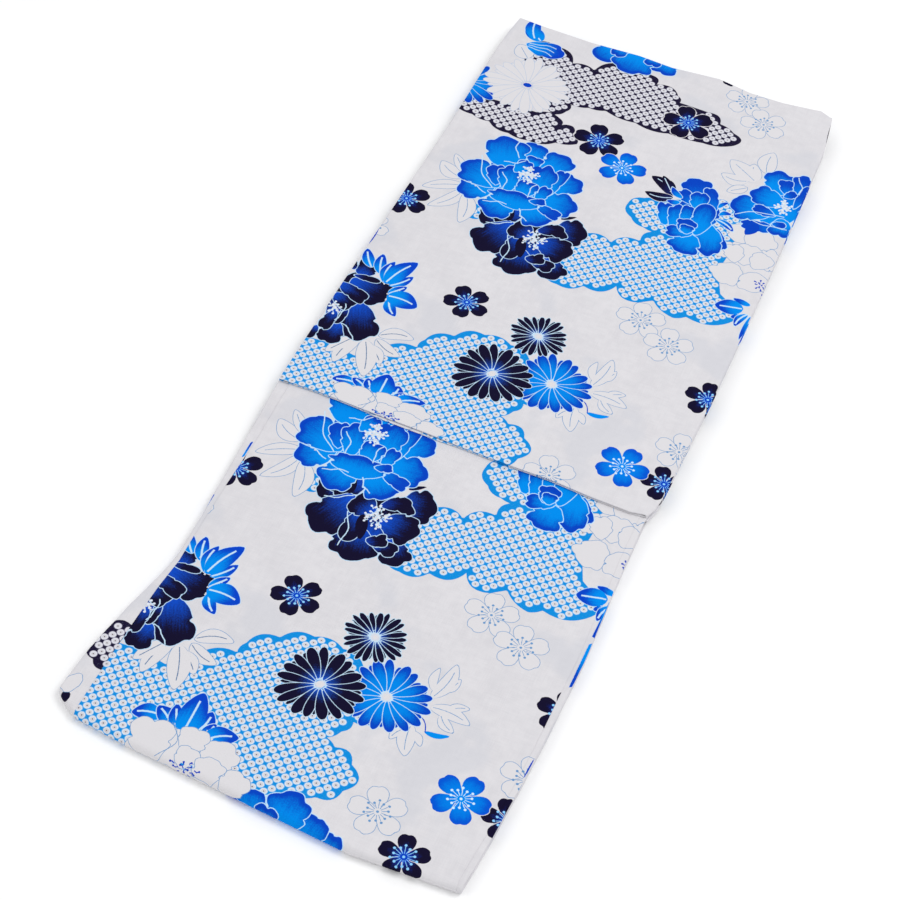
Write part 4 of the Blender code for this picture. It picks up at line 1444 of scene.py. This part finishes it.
@dataclass(frozen=True)
class PrintedCotton:
    """Plain-woven cotton with its print, read from the cloth's own attributes."""

    name: str
    ground: tuple = WHITE
    roughness: float = 0.82
    thread: float = 0.00052
    bump: float = 0.35
    printed: bool = True

    def burst(self, across: Signal, ahead: Signal) -> Signal:
        """Return how far inside a blossom's stamens a place lies."""
        spread = across.length_with(ahead)
        between = 2.0 * pi / STAMENS
        turn = ahead.arctan(across) / between + (STAMENS + 1.5)
        aside = abs(turn.fraction() - 0.5) * between * spread
        ray = (RAY[2] - aside).least(spread - RAY[0]).least(RAY[1] - spread)
        odd = turn.floor().modulo(2.0)
        bead = BEAD[2] - aside.length_with(spread - (BEAD[0] + odd * BEAD[1]))
        return ray.most(bead).most(1.0 - spread)

    def inked(self, paint: Paint, below: Signal, slot: int, grain: Signal, wobble: Signal) -> Signal:
        """Lay one slot's ink over the colour below it.

        Args:
            paint: The material.
            below: The colour so far.
            slot: Which of a face's marks this is.
            grain: Fine noise, for the edge of the shading.
            wobble: Fine noise, for the mark's own edge.

        Returns:
            The colour with the mark on it.
        """
        first, second, share, ink = paint.attribute(f"ink_{slot}")
        number = ink / RAMP_STEPS
        empty, inks = [(0.0, 0.0, 0.0, 0.0)], list(INKS.values())
        rim, width = paint.ramp(number, empty + [(*one.rim, one.width / WIDEST) for one in inks])
        near, mark = paint.ramp(number, empty + [(*one.near, one.mark.value / 4.0) for one in inks])
        far, turn = paint.ramp(number, empty + [(*one.far, one.turn) for one in inks])
        width = width * WIDEST
        line = (width - abs(first)).least(second)
        dot = width - first.length_with(second)
        burst = self.burst(first, second)
        # Marks are held as quarters, so each limit lies between two of them.
        is_line, is_dot, is_burst = (mark.over(limit) for limit in (0.12, 0.37, 0.62))
        value = first + (line - first) * is_line
        value = value + (dot - value) * is_dot
        value = value + (burst - value) * is_burst
        value = value + wobble
        cover = value.step(-0.13, 0.13) * number.over(0.01)
        edge = (1.0 - first / 5.5).most(0.0) * share.most(0.0)
        bristle = paint.node("ShaderNodeCombineXYZ", None, X=second * 0.8, Y=share * 2.5, Z=ink)
        streak = (paint.noise(paint.output(bristle, "Vector"), 1.0) - 0.5) * 0.32
        shade = (share * 0.85 + edge * 0.4 + streak + (grain - 0.5) * 0.4 - turn).step(-0.3, 0.3)
        fill = paint.blend(shade, near, far)
        ridge = (value - width).step(-0.16, 0.16) * (1.0 - is_line)
        return paint.blend(cover, below, paint.blend(ridge, rim, fill))

    def clouded(self, paint: Paint, below: Signal, place: Signal, grain: Signal) -> Signal:
        """Lay the clouds of tied dots over the bare cloth."""
        depth, shade, even, odd = paint.attribute("cloud")
        across, ahead = (part / (DOT_PITCH * MM) for part in paint.parts(place)[:2])
        ground = paint.blend(shade.over(0.5), CLOUD_BLUE, CLOUD_NAVY)
        ground = paint.blend((grain - 0.5).step(0.0, 0.4) * 0.12, ground, LINE_WHITE)
        tint = paint.blend(shade.over(0.5), DISC_BLUE, DISC_NAVY)
        for shown, offset in ((even, 0.5), (odd, 0.0)):
            aside, along = (((part + offset + 200.0).fraction() - 0.5) * DOT_PITCH
                            for part in (across, ahead))
            radius = aside.length_with(along) + (grain - 0.5) * 0.7
            disc = (DOT_RADIUS - radius).step(-0.25, 0.25) * shown.over(0.5)
            ring = (0.28 - abs(radius - RING_RADIUS)).step(-0.2, 0.2) * 0.35
            spot = (SPOT_RADIUS - radius).step(-0.2, 0.2) * 0.85
            face = paint.blend(radius.step(2.0, 2.8) * 0.95, DISC_WHITE, tint)
            face = paint.blend(spot, paint.blend(ring, face, RING_GREY), SPOT_BROWN)
            ground = paint.blend(disc, ground, face)
        return paint.blend((depth + (grain - 0.5) * 0.5).step(-0.2, 0.2), below, ground)

    def build(self) -> bpy.types.Material:
        """Return the material."""
        paint = Paint(self.name)
        place = paint.output(paint.node("ShaderNodeUVMap", {"uv_map": "cloth"}), "UV")
        grain = paint.noise(place, 900.0)
        blotch = paint.noise(place, 26.0) + (paint.noise(place, 150.0) - 0.5) * 0.9
        slub = paint.thread_noise(place, 1400.0, 60.0) + paint.thread_noise(place, 60.0, 1400.0) - 1.0
        shaded = tuple(channel * factor for channel, factor in zip(self.ground, (0.92, 0.92, 0.93)))
        lit = tuple(min(1.0, channel * 1.03) for channel in self.ground)
        colour = paint.blend((blotch - 0.5 + slub * 0.6).step(-0.5, 0.5), shaded, lit)
        colour = paint.blend(paint.noise(place, 15.0).step(0.53, 0.62) * 0.5, colour, GHOST)
        if self.printed:
            wobble = (paint.noise(place, 700.0, 2.0) - 0.5) * 0.5
            colour = self.clouded(paint, colour, place, grain)
            for slot in range(INKS_PER_FACE):
                colour = self.inked(paint, colour, slot, grain, wobble)
            worn = (slub + (grain - 0.5)).step(0.15, 0.9) * 0.03
            colour = paint.blend(worn, colour, LINE_WHITE)
        across, ahead = (part * (2.0 * pi / self.thread) for part in paint.parts(place)[:2])
        threads = across.sine() * ahead.sine() * 0.35 + slub * 1.6 + (grain - 0.5) * 0.6
        bump = paint.node("ShaderNodeBump", None, Strength=self.bump, Distance=0.00016, Height=threads)
        return paint.finish(Base_Color=colour, Roughness=self.roughness, Specular_IOR_Level=0.03,
                            Normal=paint.output(bump, "Normal"))


# ======================================================================= the studio
@dataclass(frozen=True)
class Studio:
    """A pale floor, soft light and a camera that looks down along the packet."""

    eye: tuple = (0.3515, -1.2988, 1.3734)
    forward: tuple = (-0.18995, 0.65474, -0.73160)
    up: tuple = (-0.32977, 0.65933, 0.67568)
    lens: float = 100.3

    def camera(self) -> None:
        """Make the camera and use it."""
        data = bpy.data.cameras.new("studio_camera")
        data.lens = self.lens
        data.sensor_width = 36.0
        data.clip_end = 30.0
        camera = bpy.data.objects.new("studio_camera", data)
        ahead = Vector(self.forward).normalized()
        right = ahead.cross(Vector(self.up)).normalized()
        turn = Matrix((right, right.cross(ahead), -ahead)).transposed().to_4x4()
        camera.matrix_world = Matrix.Translation(self.eye) @ turn
        bpy.context.scene.collection.objects.link(camera)
        bpy.context.scene.camera = camera

    def floor(self) -> None:
        """Lay a plain pale floor just under the cloth."""
        shape = bmesh.new()
        bmesh.ops.create_grid(shape, x_segments=1, y_segments=1, size=6.0,
                              matrix=Matrix.Translation((0.0, 0.0, -0.0002)))
        mesh = bpy.data.meshes.new("studio_floor")
        shape.to_mesh(mesh)
        shape.free()
        floor = bpy.data.objects.new("studio_floor", mesh)
        mesh.materials.append(Paint("studio_paper").finish(
            Base_Color=(0.97, 0.97, 0.97), Roughness=0.95, Specular_IOR_Level=0.0))
        bpy.context.scene.collection.objects.link(floor)

    def lamp(self, name: str, place: tuple, power: float, size: float) -> None:
        """Hang one soft lamp that looks at the packet."""
        data = bpy.data.lights.new(name, "AREA")
        data.shape = "DISK"
        data.size = size
        data.energy = power
        lamp = bpy.data.objects.new(name, data)
        aim = -Vector(place)
        lamp.matrix_world = Matrix.Translation(place) @ aim.to_track_quat("-Z", "Y").to_matrix().to_4x4()
        bpy.context.scene.collection.objects.link(lamp)

    def light(self) -> None:
        """Light the packet from all round, and a little more from the far right."""
        world = bpy.data.worlds.new("studio_light")
        world.use_nodes = True
        sky = world.node_tree.nodes["Background"]
        sky.inputs["Color"].default_value = (0.985, 0.99, 1.0, 1.0)
        sky.inputs["Strength"].default_value = 0.8
        bpy.context.scene.world = world
        self.lamp("studio_key", (1.2, 0.5, 2.4), 22.0, 1.4)
        self.lamp("studio_fill", (-1.6, -1.6, 2.0), 9.0, 2.0)

    def set_up(self) -> None:
        """Make the whole studio."""
        self.floor()
        self.light()
        self.camera()
        bpy.context.scene.view_settings.view_transform = "Standard"


def build_packet() -> None:
    """Make every layer of the folded robe, dress it and put it in place of the CAD parts."""
    stencil = draw_print()
    log.info("print: %d marks", len(stencil.patches))
    marks = strip_marks()
    cotton = PrintedCotton("printed_cotton").build()
    plain = PrintedCotton("inner_cotton", ground=linear(222, 220, 228), printed=False).build()
    sleeve = Printing((0,), extra=low_marks(0.67, (-3.0, -7.2)) + sleeve_marks())
    layers = {
        "sleeve_left": (SleevePiece(SLEEVE_LOW, SLEEVE_HIGH, FINE, SLEEVE_CREASES).sheets(), sleeve),
        "sleeve_right": (SleevePiece(INNER_LOW, INNER_HIGH, COARSE, ()).sheets(), sleeve),
        "back_left": (PanelPiece().sheets(), Printing((-1, 0, 1, 2), extra=low_marks())),
        "front_left": ([StripPiece(-1.0, SIDE_SEAM, LEFT_FOLD).sheet()],
                       Printing((1, 2), extra=marks, clouds=(STRIP_CLOUD,))),
        "back_right": ([StripPiece(1.0, BACK_SEAM, RIGHT_FOLD, shown=10).sheet()],
                       Printing((0,), extra=marks, bands=((140.0, 330.0), (-70.0, 20.0)))),
        "hidden_layers": ([LeafPiece(top=2.75, under=3.3, inset=2.6, setback=3.0, phase=0.4).sheet(),
                           LeafPiece(top=3.4, under=3.95, inset=1.9, setback=5.0, phase=2.1).sheet()],
                          Printing()),
    }
    pieces = {node: weave(f"{node}_cloth", sheets, stencil, printing)
              for node, (sheets, printing) in layers.items()}
    for node in ("front_left", "back_right"):
        wall = pieces[node].modifiers.new("cloth wall", "SOLIDIFY")
        wall.thickness = 0.45 * MM
        wall.offset = -1.0
    for node, piece in pieces.items():
        hidden = node == "hidden_layers"
        piece.data.materials.append(plain if hidden else cotton)
        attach(piece, "root")
        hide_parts(node)


def main() -> None:
    """Build the packet and its studio."""
    logging.basicConfig(level=logging.INFO, format="%(name)s: %(message)s")
    build_packet()
    Studio().set_up()
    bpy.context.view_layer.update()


if __name__ == "__main__":
    main()
